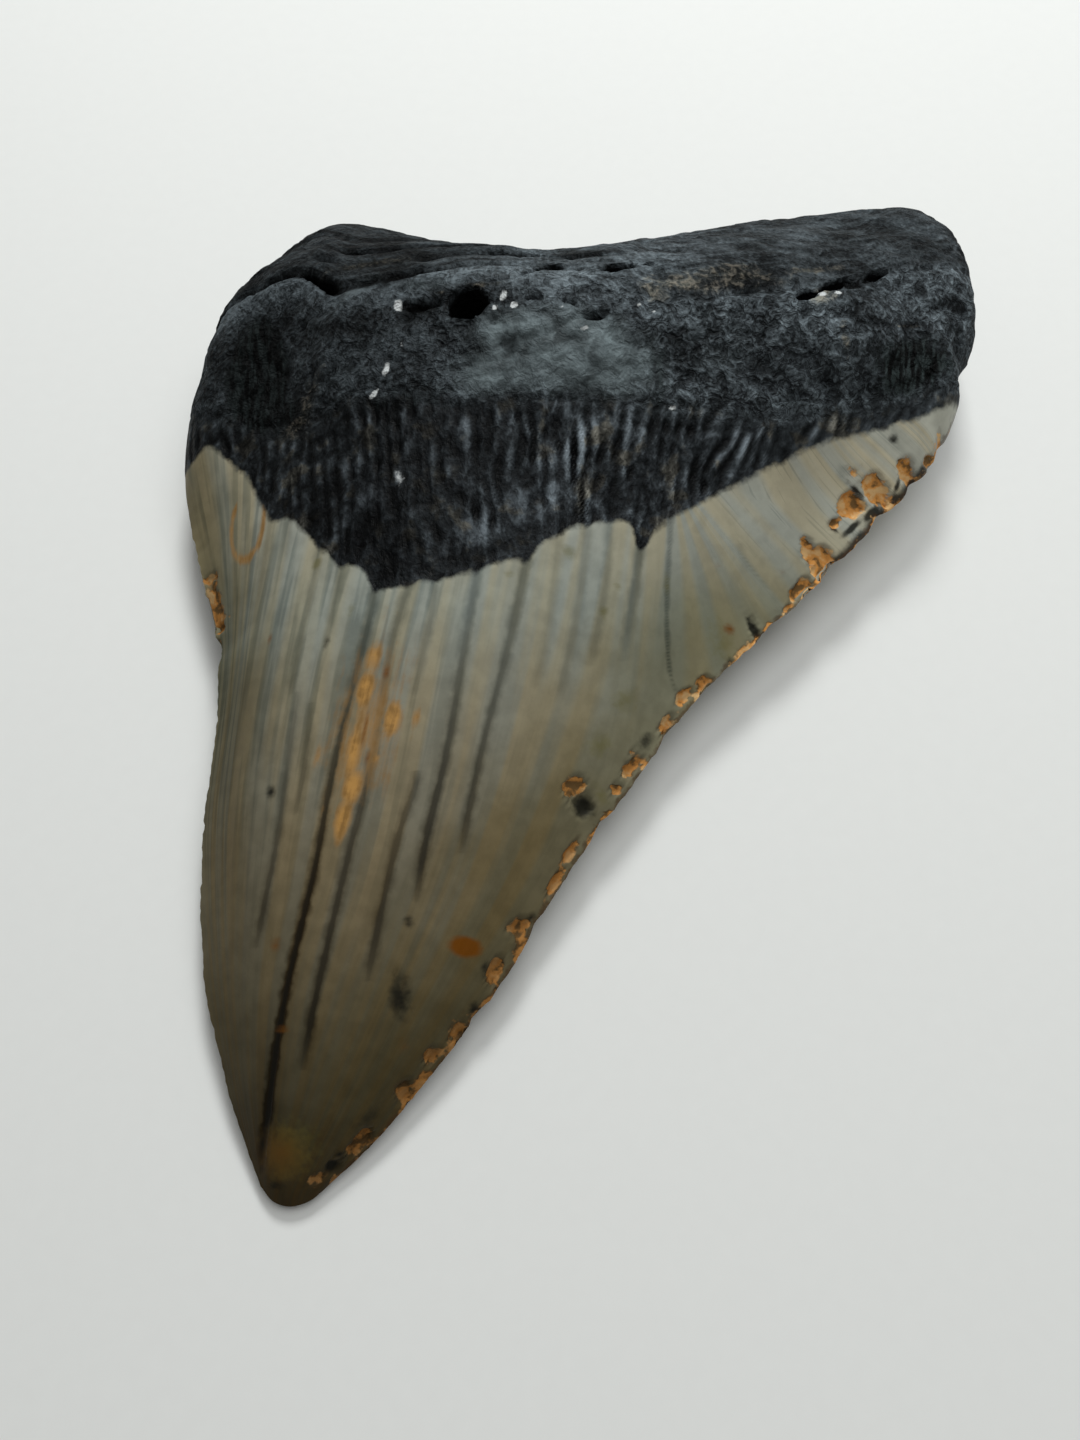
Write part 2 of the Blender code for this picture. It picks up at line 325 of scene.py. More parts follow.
@dataclass(frozen=True)
class Outline:
    """Rim of the tooth in plan and in height."""

    left_edge: Points = (
        (-29.6, -52.0), (-31.6, -47.6), (-33.8, -42.0), (-36.3, -33.0), (-37.5, -21.0),
        (-37.3, -9.4), (-38.3, -0.7), (-40.8, 7.5), (-42.9, 15.5), (-43.4, 21.8),
        (-42.7, 27.5), (-41.8, 33.0), (-39.3, 38.2),
    )
    right_edge: Points = (
        (-24.2, -52.4), (-19.6, -48.2), (-15.0, -42.9), (-8.8, -35.1), (-3.3, -26.1),
        (4.4, -15.5), (10.6, -7.3), (20.2, 1.8), (29.3, 11.0), (36.3, 18.4),
        (40.1, 25.4), (40.6, 29.2), (43.0, 33.6), (43.4, 40.0), (43.0, 46.4),
    )
    tip_end: Points = (
        (-29.6, -52.0), (-28.4, -53.2), (-26.9, -53.6), (-25.3, -53.2), (-24.2, -52.4),
    )
    basal_margin: Points = (
        (-39.3, 38.2), (-37.4, 42.0), (-34.4, 45.7), (-30.6, 48.6), (-26.0, 49.6),
        (-17.8, 46.4), (-9.7, 43.3), (-3.2, 42.3), (3.8, 43.9), (13.1, 47.0),
        (23.7, 50.5), (33.3, 53.1), (38.4, 53.4), (41.9, 50.8), (43.0, 46.4),
    )
    left_height: Points = (
        (0.0, 1.1), (0.2, 3.2), (0.5, 4.5), (0.75, 6.0), (0.88, 7.2), (1.0, 7.8),
    )
    right_height: Points = (
        (0.0, 1.1), (0.2, 3.4), (0.5, 5.6), (0.72, 6.8), (0.85, 7.4), (1.0, 8.2),
    )
    margin_height: Points = (
        (0.0, 7.8), (0.15, 8.0), (0.45, 9.6), (0.6, 9.4), (0.85, 8.0), (1.0, 8.2),
    )
    tip_pull: float = 9.0
    margin_pull: float = 2.6
    margin_height_pull: float = 4.0
    # Bites out of the cutting edges: along, reach along the edge, depth into the plan.
    right_bites: Points = (
        (0.16, 0.008, 0.4), (0.24, 0.008, 0.3), (0.33, 0.010, 0.4), (0.42, 0.008, 0.3),
        (0.55, 0.009, 0.4), (0.63, 0.008, 0.4), (0.69, 0.010, 0.6), (0.735, 0.008, 0.5),
        (0.78, 0.008, 0.4),
    )
    left_bites: Points = ((0.55, 0.012, 0.5),)
    bite_pull: float = 30.0
    into_right: Pair = (-0.77, 0.64)
    into_left: Pair = (1.0, 0.0)

    def plan(self, across: Array, along: Array) -> Array:
        """The grid in plan.

        Straight lines run from the left edge to the right edge. What the tip's end and the basal
        margin add to them dies out as powers of (1 - along) and along, and what the bites add
        dies out as a power of the distance from the edge.

        Args:
            across: places from edge to edge.
            along: places from tip to margin.

        Returns:
            x and y of each grid point, as the last axis.
        """
        left = along_curve(self.left_edge, along)
        right = along_curve(self.right_edge, along)
        u = across[None, :, None]
        v = along[:, None, None]
        straight = (1 - u) * left[:, None] + u * right[:, None]
        tip = along_curve(self.tip_end, across)[None] - straight[:1]
        margin = along_curve(self.basal_margin, across)[None] - straight[-1:]
        bent = straight + tip * (1 - v) ** self.tip_pull + margin * v**self.margin_pull
        left_bite = self.bite(v, self.left_bites) * (1 - u) ** self.bite_pull
        right_bite = self.bite(v, self.right_bites) * u**self.bite_pull
        return bent + left_bite * np.array(self.into_left) + right_bite * np.array(self.into_right)

    def bite(self, along: Array, bites: Points) -> Array:
        """How far the bites go into an edge: a sum of bell curves along it."""
        return sum(deep * np.exp(-(((along - at) / reach) ** 2)) for at, reach, deep in bites)

    def rim(self, across: Array, along: Array) -> Array:
        """Height of the rim, carried across the plan as the plan's own lines are."""
        left = profile(self.left_height, along)[:, None]
        right = profile(self.right_height, along)[:, None]
        u = across[None]
        straight = (1 - u) * left + u * right
        margin = profile(self.margin_height, across)[None] - straight[-1:]
        return straight + margin * along[:, None] ** self.margin_height_pull

    def edge_gaps(self, across: Array, along: Array) -> tuple[Array, Array]:
        """Distance in plan to the left and the right edge.

        It is the share of the straight line that lies between, times that line's length, times
        the sine of its angle with the edge.

        Args:
            across: places from edge to edge.
            along: places from tip to margin.

        Returns:
            (distance to the left edge, distance to the right edge).
        """
        left = along_curve(self.left_edge, along)
        right = along_curve(self.right_edge, along)
        line = right - left
        gaps = []
        for edge, share in ((left, across), (right, 1 - across)):
            run = np.gradient(edge, axis=0)
            run /= np.linalg.norm(run, axis=1, keepdims=True)
            slant = np.abs(line[:, 0] * run[:, 1] - line[:, 1] * run[:, 0])
            gaps.append(slant[:, None] * share[None])
        return gaps[0], gaps[1]


@dataclass(frozen=True)
class Falls:
    """How a section falls from its crest to the side rims: (1 - t^a)^b on each side.

    The first pair of exponents is for the left side, and the second for the right.
    """

    crown: Points
    root: Points
    root_from: float = 0.66
    root_to: float = 0.84

    def at(self, across: Array, along: Array, crest: Array) -> Array:
        """1 on the crest and 0 on the side rims, lens-shaped in the crown and full in the root.

        Args:
            across: places from edge to edge.
            along: places from tip to margin.
            crest: place of the crest for each place along.

        Returns:
            The fall at each grid point.
        """
        rootward = smooth_step(self.root_from, self.root_to, along)[:, None]
        u = across[None]
        place = crest[:, None]
        to_left = np.clip((place - u) / place, 0, 1)
        to_right = np.clip((u - place) / (1 - place), 0, 1)
        fall = np.ones((len(along), len(across)))
        for side, lens, full in zip((to_left, to_right), self.crown, self.root):
            thin = (1 - side ** lens[0]) ** lens[1]
            thick = (1 - side ** full[0]) ** full[1]
            fall = fall * (thin + (thick - thin) * rootward)
        return fall


@dataclass(frozen=True)
class InnerForm:
    """The convex inner face, which is the upper one as the tooth lies."""

    crest_height: Points = (
        (0.0, 0.0), (0.02, 0.9), (0.08, 2.7), (0.2, 5.0), (0.35, 7.5), (0.5, 9.8),
        (0.62, 11.6), (0.72, 13.2), (0.84, 15.4), (0.92, 15.2), (1.0, 14.2),
    )
    crest_place: Points = ((0.0, 0.45), (0.3, 0.43), (0.6, 0.38), (0.8, 0.42), (1.0, 0.45))
    falls: Falls = Falls(crown=((2.0, 1.25), (2.1, 1.25)), root=((2.0, 0.72), (2.6, 0.62)))
    ledge: Points = (
        (0.0, 0.91), (0.1, 0.875), (0.25, 0.855), (0.5, 0.855), (0.7, 0.83), (0.85, 0.835),
        (1.0, 0.90),
    )
    basal_fall: Pair = (1.3, 0.55)

    def past_ledge(self, across: Array, along: Array) -> Array:
        """How far each place lies past the ledge, from 0 on it to 1 on the basal margin."""
        ledge = profile(self.ledge, across)[None]
        return np.clip((along[:, None] - ledge) / (1 - ledge), 0, 1)

    def over_rim(self, across: Array, along: Array) -> Array:
        """Height over the rim: the crest's height times the side fall times the basal fall."""
        crest = profile(self.crest_height, along)[:, None]
        side = self.falls.at(across, along, profile(self.crest_place, along))
        power, root = self.basal_fall
        return crest * side * (1 - self.past_ledge(across, along) ** power) ** root


@dataclass(frozen=True)
class OuterForm:
    """The flatter outer face, which the tooth lies on."""

    depth: Points = (
        (0.0, 0.0), (0.03, 1.0), (0.1, 2.5), (0.25, 4.3), (0.4, 5.1), (0.6, 4.9),
        (0.72, 6.6), (0.82, 9.8), (0.92, 10.8), (1.0, 10.8),
    )
    crest_place: float = 0.5
    falls: Falls = Falls(crown=((2.4, 0.95), (2.4, 0.95)), root=((3.2, 0.5), (3.2, 0.5)))
    basal_fall: Pair = (14.0, 0.5)
    hollow: tuple[float, ...] = (0.0, 24.0, 15.0, 11.0, 1.9)  # x, y, reach in x and in y, rise
    hollow_ramp: float = 4.0
    rest_round: float = 0.5  # how gently the face comes down to the surface it rests on

    def height(self, points: Array, rim: Array, across: Array, along: Array) -> Array:
        """Height of the face: the rim less the depth, plus the hollow, eased on to the table.

        Where the face would pass through the table it levels out, as (b + sqrt(b^2 + e^2)) / 2
        less what that adds on the rim.

        Args:
            points: x and y of the grid.
            rim: rim height of the grid.
            across: places from edge to edge.
            along: places from tip to margin.

        Returns:
            The height at each grid point.
        """
        place = np.full(len(along), self.crest_place)
        power, root = self.basal_fall
        fall = self.falls.at(across, along, place) * ((1 - along**power) ** root)[:, None]
        under = profile(self.depth, along)[:, None] * fall
        cx, cy, reach_x, reach_y, rise = self.hollow
        away = ((points[..., 0] - cx) / reach_x) ** 2 + ((points[..., 1] - cy) / reach_y) ** 2
        hollow = rise * np.exp(-away) * np.clip(under / self.hollow_ramp, 0, 1)
        bare = rim - under + hollow
        eased = (bare + np.sqrt(bare**2 + self.rest_round**2)) / 2
        return eased - smooth_step(1.0, 0.0, under) * (eased - bare)


# ---------------------------------------------------------------- zones of the surface


@dataclass(frozen=True)
class Enamel:
    """The crown's enamel: where it ends, how it stands over the band, and its cracks."""

    inner_edge: Points = (
        (-44.0, 17.6), (-41.8, 18.1), (-39.6, 18.7), (-37.3, 16.5), (-34.8, 14.0), (-33.2, 11.0),
        (-31.7, 8.8), (-29.9, 8.4), (-28.3, 6.8), (-25.8, 4.0), (-24.5, 2.4), (-22.2, 1.5),
        (-20.0, -0.8), (-16.4, -0.3), (-14.0, -0.2), (-11.1, 0.8), (-8.7, 1.5), (-6.7, 2.0),
        (-5.0, 3.4), (-3.4, 4.7), (-1.3, 5.7), (2.9, 6.6), (4.6, 4.8), (6.3, 6.8), (8.8, 8.7),
        (14.9, 12.7), (23.2, 17.6), (28.6, 19.6), (34.3, 21.9), (41.0, 26.0),
    )
    outer_edge: Points = (
        (-44.0, 20.6), (-36.0, 19.0), (-22.0, 17.4), (0.0, 17.0), (20.0, 19.0), (32.0, 22.5),
        (41.0, 26.0),
    )
    step: float = 0.22
    step_half_width: float = 0.5
    step_centre: float = 0.55  # how far past the enamel's edge its step lies, under the dark band
    outer_half_width: float = 0.6
    ragged: Grain = Grain((1.6, 1.6, 1.0), 61, 0.25)
    outer_ragged: Grain = Grain((3.0, 3.0, 1.0), 81, 0.4)
    notch: float = 0.55  # how far the band runs down into the enamel where a crack meets it
    notch_half_width: float = 0.55
    crack_half_width: float = 0.75
    crack_depth: float = 0.10
    swell: float = 0.06
    swell_spots: Grain = Grain((5.0, 7.0, 1.0), 73, 0.6)
    lanes: Grain = Grain((1.1, 30.0, 1.0), 71, layers=1)
    outer_lanes: Grain = Grain((1.1, 30.0, 1.0), 83, layers=1)
    cracks: tuple[Crack, ...] = (
        Crack(0.35, 0.2, ((-32.0, 8.5), (-33.0, 1.9), (-33.9, -3.7))),
        Crack(0.3, 0.2, ((-29.7, 8.6), (-30.1, 5.0), (-30.6, 1.5))),
        Crack(0.35, 0.25, ((-26.2, 5.2), (-27.0, 0.3), (-27.9, -4.3), (-28.9, -11.9))),
        Crack(0.3, 0.5, ((-28.0, -10.2), (-28.9, -22.0), (-30.1, -29.7), (-30.8, -34.2))),
        Crack(0.35, 0.3, ((-24.0, 2.1), (-24.6, -1.8), (-25.4, -7.0))),
        Crack(0.3, 0.35, ((-26.4, -11.7), (-26.7, -16.9), (-27.6, -23.0))),
        Crack(0.7, 1.6, (
            (-20.5, 0.0), (-21.1, -4.2), (-22.6, -11.0), (-24.1, -18.5), (-25.2, -26.0),
            (-27.6, -37.3), (-29.0, -47.1), (-29.7, -52.0),
        ), 0.3),
        Crack(0.6, 0.8, (
            (-17.3, -0.4), (-18.9, -6.6), (-20.5, -17.3), (-22.3, -25.5), (-24.9, -37.9),
            (-25.9, -44.0),
        ), 0.15),
        Crack(0.5, 0.2, ((-14.8, 0.2), (-15.3, -4.1), (-16.1, -8.0), (-17.0, -13.2))),
        Crack(0.45, 0.6, ((-16.3, -18.6), (-18.0, -24.0), (-19.8, -32.8), (-20.5, -37.0))),
        Crack(0.6, 0.7, (
            (-10.9, 1.0), (-12.4, -7.9), (-13.6, -15.6), (-15.3, -23.0), (-16.4, -30.0),
        )),
        Crack(0.7, 0.5, (
            (-6.3, 2.4), (-8.1, -5.8), (-10.3, -14.5), (-11.8, -21.6), (-12.5, -26.0),
        )),
        Crack(0.3, 0.2, ((-3.3, 4.8), (-4.0, -1.5), (-4.8, -6.0), (-6.5, -12.0))),
        Crack(0.4, 0.25, ((-0.7, 6.0), (-1.5, -1.4), (-2.5, -5.7), (-4.0, -12.0))),
        Crack(0.45, 0.4, ((1.5, 6.6), (1.1, 1.2), (0.3, -3.3), (-0.9, -8.5))),
        Crack(0.8, 0.3, ((4.6, 5.2), (4.0, 1.2), (3.4, -2.2), (2.4, -7.5))),
        Crack(0.5, 0.9, ((7.5, 6.8), (7.2, 1.9), (7.2, -2.0), (7.6, -5.6), (8.9, -8.8))),
        Crack(0.3, 0.6, ((14.8, 6.3), (16.3, 5.0), (17.9, 3.7), (20.3, 1.9))),
        Crack(0.5, 0.8, ((26.0, 15.4), (27.9, 14.3), (30.2, 13.0))),
        Crack(0.5, 0.8, ((31.6, 19.3), (33.2, 18.5), (35.9, 17.1))),
        Crack(0.3, 0.4, ((33.0, 22.4), (35.0, 21.6), (38.6, 20.2))),
    )
    # Lines that the enamel grew along, from left to right, each from the band down.
    growth: tuple[Points, ...] = (
        ((-44.0, 22.0), (-38.3, -0.7), (-37.6, -21.0), (-33.8, -42.0), (-30.0, -53.0)),
        ((-32.0, 7.3), (-33.9, -3.7), (-34.6, -20.0), (-32.6, -40.0), (-29.6, -53.0)),
        ((-20.5, -1.1), (-22.6, -11.0), (-25.4, -26.0), (-27.8, -37.3), (-29.2, -53.0)),
        ((-10.9, 0.3), (-12.4, -7.9), (-15.3, -23.0), (-20.5, -38.0), (-27.0, -53.0)),
        ((-0.7, 3.8), (-3.7, -10.0), (-9.0, -25.0), (-17.0, -40.0), (-25.0, -53.0)),
        ((7.5, 12.0), (7.2, 0.0), (5.0, -14.0), (-5.0, -30.0), (-20.0, -50.0)),
        ((10.5, 9.5), (16.3, 5.0), (19.3, 2.6), (30.0, -6.0)),
        ((23.6, 17.0), (26.7, 15.0), (29.1, 13.6), (40.0, 7.0)),
        ((29.6, 20.2), (35.0, 17.6), (46.0, 12.0)),
        ((31.0, 23.5), (37.4, 20.7), (50.0, 15.0)),
    )
    growth_pitch: float = 9.0  # millimetres that one step from line to line stands for
    growth_gap: float = 0.2  # least gap between two lines
    growth_back: int = 20  # points from a line's end over which its last slope is taken
    slope_half: float = 0.5  # half the step over which the edge's slope is taken

    def from_edge(self, x: Array, y: Array, inner: bool) -> Array:
        """Signed distance from the enamel's end: above it on the root's side.

        It is the step along y times the cosine of the edge's slope there.

        Args:
            x: places across.
            y: places along.
            inner: which face the points are on.

        Returns:
            Millimetres, positive where there is no enamel.
        """
        edge = self.inner_edge if inner else self.outer_edge
        slope = profile(edge, x + self.slope_half) - profile(edge, x - self.slope_half)
        slope = slope / (2 * self.slope_half)
        return (y - profile(edge, x)) / np.sqrt(1 + slope**2)

    def growth_place(self, x: Array, y: Array) -> Array:
        """Number that is the same along each growth line and rises evenly from line to line.

        It is the sum over neighbouring lines of how much of the gap between them lies to the left.

        Args:
            x: places across.
            y: places along.

        Returns:
            Millimetres counted across the lines.
        """
        lines = [smooth_curve(points)[::-1] for points in self.growth]
        at = np.stack([self.extended(line, y) for line in lines])
        at = np.maximum.accumulate(at, axis=0)
        gaps = np.maximum(np.diff(at, axis=0), self.growth_gap)
        return self.growth_pitch * np.clip((x - at[:-1]) / gaps, 0, 1).sum(axis=0)

    def extended(self, line: Array, y: Array) -> Array:
        """x of a line at each y, carried straight on past its upper end."""
        top, before = line[-1], line[-self.growth_back]
        slope = (top[0] - before[0]) / (top[1] - before[1])
        return np.interp(y, line[:, 1], line[:, 0]) + slope * np.maximum(y - top[1], 0)


@dataclass(frozen=True)
class Band:
    """The bourlette: the dark ridged band between enamel and root on the inner face."""

    top: Points = (
        (-44.0, 23.6), (-34.9, 18.9), (-28.9, 16.4), (-24.4, 17.4), (-11.8, 16.5), (5.3, 16.9),
        (15.7, 17.6), (21.5, 19.2), (33.1, 22.8), (41.0, 26.8),
    )
    fade: Pair = (-0.6, 1.6)  # below the top, where the ridges come in
    edge_fade: float = 1.0  # past the enamel's edge, where they go out
    root_hidden: float = 0.75  # how much of the root's own texture the band covers
    pitch: float = 1.35
    height: float = 0.15
    # The ridges' lean: its change from left to right, what is taken off, and about which y.
    lean_from: float = -12.0
    lean_to: float = 16.0
    lean: float = 0.42
    lean_back: float = 0.08
    lean_about: float = 12.0
    wander: Grain = Grain((5.0, 9.0, 50.0), 31, 0.7)
    # The ridges are a wave that noise bends, and worms across it. Both are broken up lengthwise.
    lane_length: float = 2.6
    bend: Lattice = Lattice((0.8, 0.8, 0.8), 41, 1.9)
    worms: Lattice = Lattice((1.5, 1.3, 1.0), 43, 0.7)
    breaks: Lattice = Lattice((0.8, 2.1, 1.0), 47, 0.9)
    break_middle: float = 0.7
    break_limits: Pair = (0.1, 1.4)
    patches: Lattice = Lattice((0.25, 0.25, 0.25), 45, 0.5)
    patch_middle: float = 0.8
    comb_fade: Pair = (12.0, 3.0)  # below the top, from no extra wave to all of it
    wave: float = 0.3
    comb: float = 0.4  # what is added to the wave near the top

    def below_top(self, x: Array, y: Array) -> Array:
        """Distance below the band's upper limit, positive in the band."""
        return profile(self.top, x) - y

    def stroke(self, points: Array) -> Array:
        """Millimetres counted across the ridges, which lean more to the right.

        Args:
            points: places on the face.

        Returns:
            x less the lean times the height in the band, plus a slow wander.
        """
        x, y = points[..., 0], points[..., 1]
        lean = self.lean * smooth_step(self.lean_from, self.lean_to, x) - self.lean_back
        return x - lean * (y - self.lean_about) + self.wander.at(points)

    def ridges(self, points: Array, stroke: Array) -> Array:
        """Short ridges: a wave across the stroke lines, broken up along them by noise.

        The wave is strongest by the root and fades towards the enamel.

        Args:
            points: places on the face.
            stroke: millimetres counted across the ridges.

        Returns:
            Height from about -1 to 1.
        """
        lanes = flat_places(stroke / self.pitch, points[..., 1] / self.lane_length)
        wave = np.cos(2 * math.pi * stroke / self.pitch + self.bend.at(lanes))
        comb = smooth_step(*self.comb_fade, self.below_top(points[..., 0], points[..., 1]))
        broken = np.clip(self.break_middle + self.breaks.at(lanes), *self.break_limits)
        total = ((self.wave + self.comb * comb) * wave + self.worms.at(lanes)) * broken
        return total * (self.patch_middle + self.patches.at(lanes))


@dataclass(frozen=True)
class Root:
    """The root: its hollows, its grain and its holes."""

    ramp: float = 4.0  # height over the rim by which relief has its full depth
    # Crease under the basal face: its place along for each place across, and its depth.
    crease: Points = (
        (0.0, 0.93), (0.05, 0.921), (0.09, 0.905), (0.121, 0.886), (0.148, 0.880), (0.186, 0.867),
        (0.227, 0.845), (0.25, 0.845), (0.277, 0.854), (0.303, 0.864), (0.33, 0.8735),
        (0.356, 0.886), (0.386, 0.896), (0.439, 0.902), (0.489, 0.8895), (0.53, 0.8795),
        (0.568, 0.842), (0.636, 0.838), (0.704, 0.841), (0.75, 0.841), (0.814, 0.848),
        (0.852, 0.8735), (0.897, 0.89), (1.0, 0.95),
    )
    crease_depth: Points = (
        (0.0, 0.8), (0.1, 0.7), (0.3, 0.7), (0.4, 0.7), (0.47, 0.4), (0.52, 0.1), (0.56, 0.1),
        (0.62, 0.3), (0.76, 0.6), (0.9, 0.4), (1.0, 0.3),
    )
    crease_width: Pair = (0.55, 0.35)  # millimetres on the inner and the basal side
    crease_wander: Grain = Grain((4.0, 4.0, 1.0), 63, 0.3)
    crease_middle: float = 0.8
    crease_uneven: Grain = Grain((3.0, 3.0, 1.0), 65, 0.6)
    # Fainter creases of the basal face's left half: how far past the first, depth, half width.
    echoes: Points = ((2.6, 0.85, 0.4), (5.0, 0.65, 0.4), (7.8, 0.5, 0.45))
    echo_end: Pair = (0.62, 0.5)  # places across between which they come in
    echo_middle: float = 0.45
    echo_breaks: Grain = Grain((8.0, 2.0, 1.0), 69, 1.5)
    basal: Pair = (-0.1, 0.15)  # past the ledge, where the basal grain comes in
    # x, y, reach in x, reach in y, turn, depth, sharpness of the wall
    holes: Points = (
        (-12.1, 26.2, 1.5, 1.3, 0, 6.5, 3.0), (-16.2, 26.7, 2.2, 0.4, -4, 0.8, 1.4),
        (-18.2, 25.6, 0.7, 0.5, 10, 0.5, 1.4), (-9.6, 23.9, 0.6, 0.35, -30, 0.5, 1.3),
        (-8.2, 21.4, 0.9, 0.9, 0, 0.35, 1.2), (-6.3, 21.8, 0.6, 0.5, 0, 0.25, 1.2),
        (-5.6, 26.2, 0.9, 0.25, -8, 0.7, 1.6), (-2.3, 25.6, 1.1, 0.25, -18, 0.7, 1.6),
        (0.1, 24.4, 1.3, 0.45, 12, 0.9, 1.8), (-4.3, 31.5, 1.4, 0.4, 10, 1.6, 2.0),
        (-6.1, 30.3, 1.1, 0.2, 35, 0.7, 1.5), (2.6, 31.0, 1.5, 0.35, 6, 1.4, 2.0),
        (5.6, 31.6, 1.0, 0.2, 4, 0.5, 1.5), (-28.7, 33.3, 1.1, 0.3, -42, 1.1, 2.0),
        (-26.6, 31.5, 1.3, 0.4, -40, 1.5, 2.0), (-29.0, 27.8, 0.45, 0.45, 0, 0.5, 1.4),
        (-31.0, 26.2, 0.4, 0.5, 0, 0.4, 1.4), (21.3, 29.9, 1.2, 0.6, 35, 1.6, 2.0),
        (24.4, 32.0, 2.6, 0.28, 36, 1.8, 2.0), (29.7, 35.3, 1.6, 0.22, 34, 1.2, 2.0),
        (20.9, 27.6, 0.9, 0.6, 20, 0.5, 1.4), (10.4, 24.4, 1.4, 0.35, 15, 0.4, 1.4),
        (23.6, 23.5, 0.35, 4.2, 4, 0.3, 1.4), (6.0, 19.8, 0.4, 3.4, 3, 0.3, 1.4),
    )
    # x, y, reach in x, reach in y, turn, rise
    swellings: Points = (
        (12.5, 30.0, 9.0, 1.4, 0, -0.5), (-34.0, 25.5, 5.5, 8.0, 12, -1.2),
        (-24.0, 23.5, 5.0, 6.0, 20, 0.8), (-4.0, 22.5, 8.0, 4.5, 0, 0.9),
        (14.0, 23.5, 8.0, 4.0, 8, -0.8), (25.0, 27.0, 7.0, 4.5, 20, 0.9),
        (34.0, 32.0, 5.0, 6.0, 30, -0.6), (-10.0, 37.5, 12.0, 2.2, 4, 0.5),
        (30.5, 45.0, 8.0, 2.0, 8, -0.6), (-31.0, 42.0, 6.0, 1.6, 8, -0.7),
        (-24.7, 26.4, 5.0, 1.6, 65, 0.5), (4.0, 22.8, 2.0, 1.0, 10, -0.35),
    )
    ragged: Grain = Grain((1.6, 1.1, 50.0), 11, 0.22)  # rims of the holes
    lumps: Grain = Grain((9.0, 6.0, 7.0), 3, 0.35)
    weave: Grain = Grain((5.0, 5.0, 5.0), 5, 0.8)  # shifts the places of the next three
    fibres: Grain = Grain((4.5, 0.75, 0.75), 7, 0.22)
    knots: Grain = Grain((2.8, 2.0, 2.2), 9, 0.22, layers=2)
    crevices: Grain = Grain((4.6, 3.0, 3.4), 15, layers=2)
    crevice_share: float = 0.22
    crevice_depth: float = 0.32
    pores: Grain = Grain((1.1, 0.9, 0.9), 13)
    pore_from: float = 0.3
    pore_depth: float = 0.6
    # What the basal face adds to the fibres, and what it takes from knots and crevices.
    plain_fibres: float = 0.3
    basal_fibres: float = 0.4
    basal_knots: float = 0.4
    basal_crevices: float = 0.5

    def past_crease(self, across: Array, along: Array, flat: Array) -> Array:
        """Millimetres past the crease: the step along times a unit's length, plus a wander."""
        length = flat[-1:, :, 1] - flat[:1, :, 1]
        crease = profile(self.crease, across)[None]
        return (along[:, None] - crease) * length + self.crease_wander.at(flat)

    def grooves(self, past: Array, across: Array, flat: Array) -> Array:
        """Depth of the crease and of its echoes: bell shapes across each, broken up by noise.

        Args:
            past: millimetres past the crease.
            across: places from edge to edge.
            flat: x and y of the grid, with z = 0.

        Returns:
            Depth at each place.
        """
        wide = np.where(past < 0, *self.crease_width)
        total = profile(self.crease_depth, across)[None] * np.exp(-((past / wide) ** 2))
        total = total * (self.crease_middle + self.crease_uneven.at(flat))
        broken = np.clip(self.echo_middle + self.echo_breaks.at(flat), 0, 1)
        for further, deep, reach in self.echoes:
            echo = deep * broken * np.exp(-(((past - further) / reach) ** 2))
            total = total + echo * smooth_step(*self.echo_end, across)[None]
        return total

    def bells(self, x: Array, y: Array) -> Array:
        """Sum of the broad swellings and hollows: bell shapes exp(-r^3)."""
        total = np.zeros_like(x)
        for *place, rise in self.swellings:
            total += rise * np.exp(-(Spot(*place).radius(x, y) ** 3))
        return total

    def pits(self, points: Array) -> Array:
        """Depth of the holes and slits: exp(-r^(2n)), with ragged rims.

        Args:
            points: places on the face.

        Returns:
            Depth at each place.
        """
        ragged = 1 + self.ragged.at(points)
        x, y = points[..., 0], points[..., 1]
        total = np.zeros_like(x)
        for *place, depth, wall in self.holes:
            radius = Spot(*place).radius(x, y) * ragged
            total += depth * np.exp(-(radius ** (2 * wall)))
        return total

    def texture(self, points: Array, basal: Array) -> Array:
        """Height of the root's own texture: lumps, fibres that run across, crevices and pores.

        Args:
            points: places on the surface.
            basal: 1 on the basal face, where the fibres are longest, and 0 on the rest.

        Returns:
            Height in millimetres.
        """
        woven = points + self.weave.at(points)[..., None]
        fibres = self.fibres.at(woven) * (self.plain_fibres + self.basal_fibres * basal)
        knots = self.knots.at(woven) * (1 - self.basal_knots * basal)
        lines = np.clip(1 - np.abs(self.crevices.at(woven)) / self.crevice_share, 0, 1)
        crevices = self.crevice_depth * lines**2 * (1 - self.basal_crevices * basal)
        pores = self.pore_depth * np.clip(self.pores.at(points) - self.pore_from, 0, 1)
        return self.lumps.at(points) + (fibres + knots) - crevices - pores


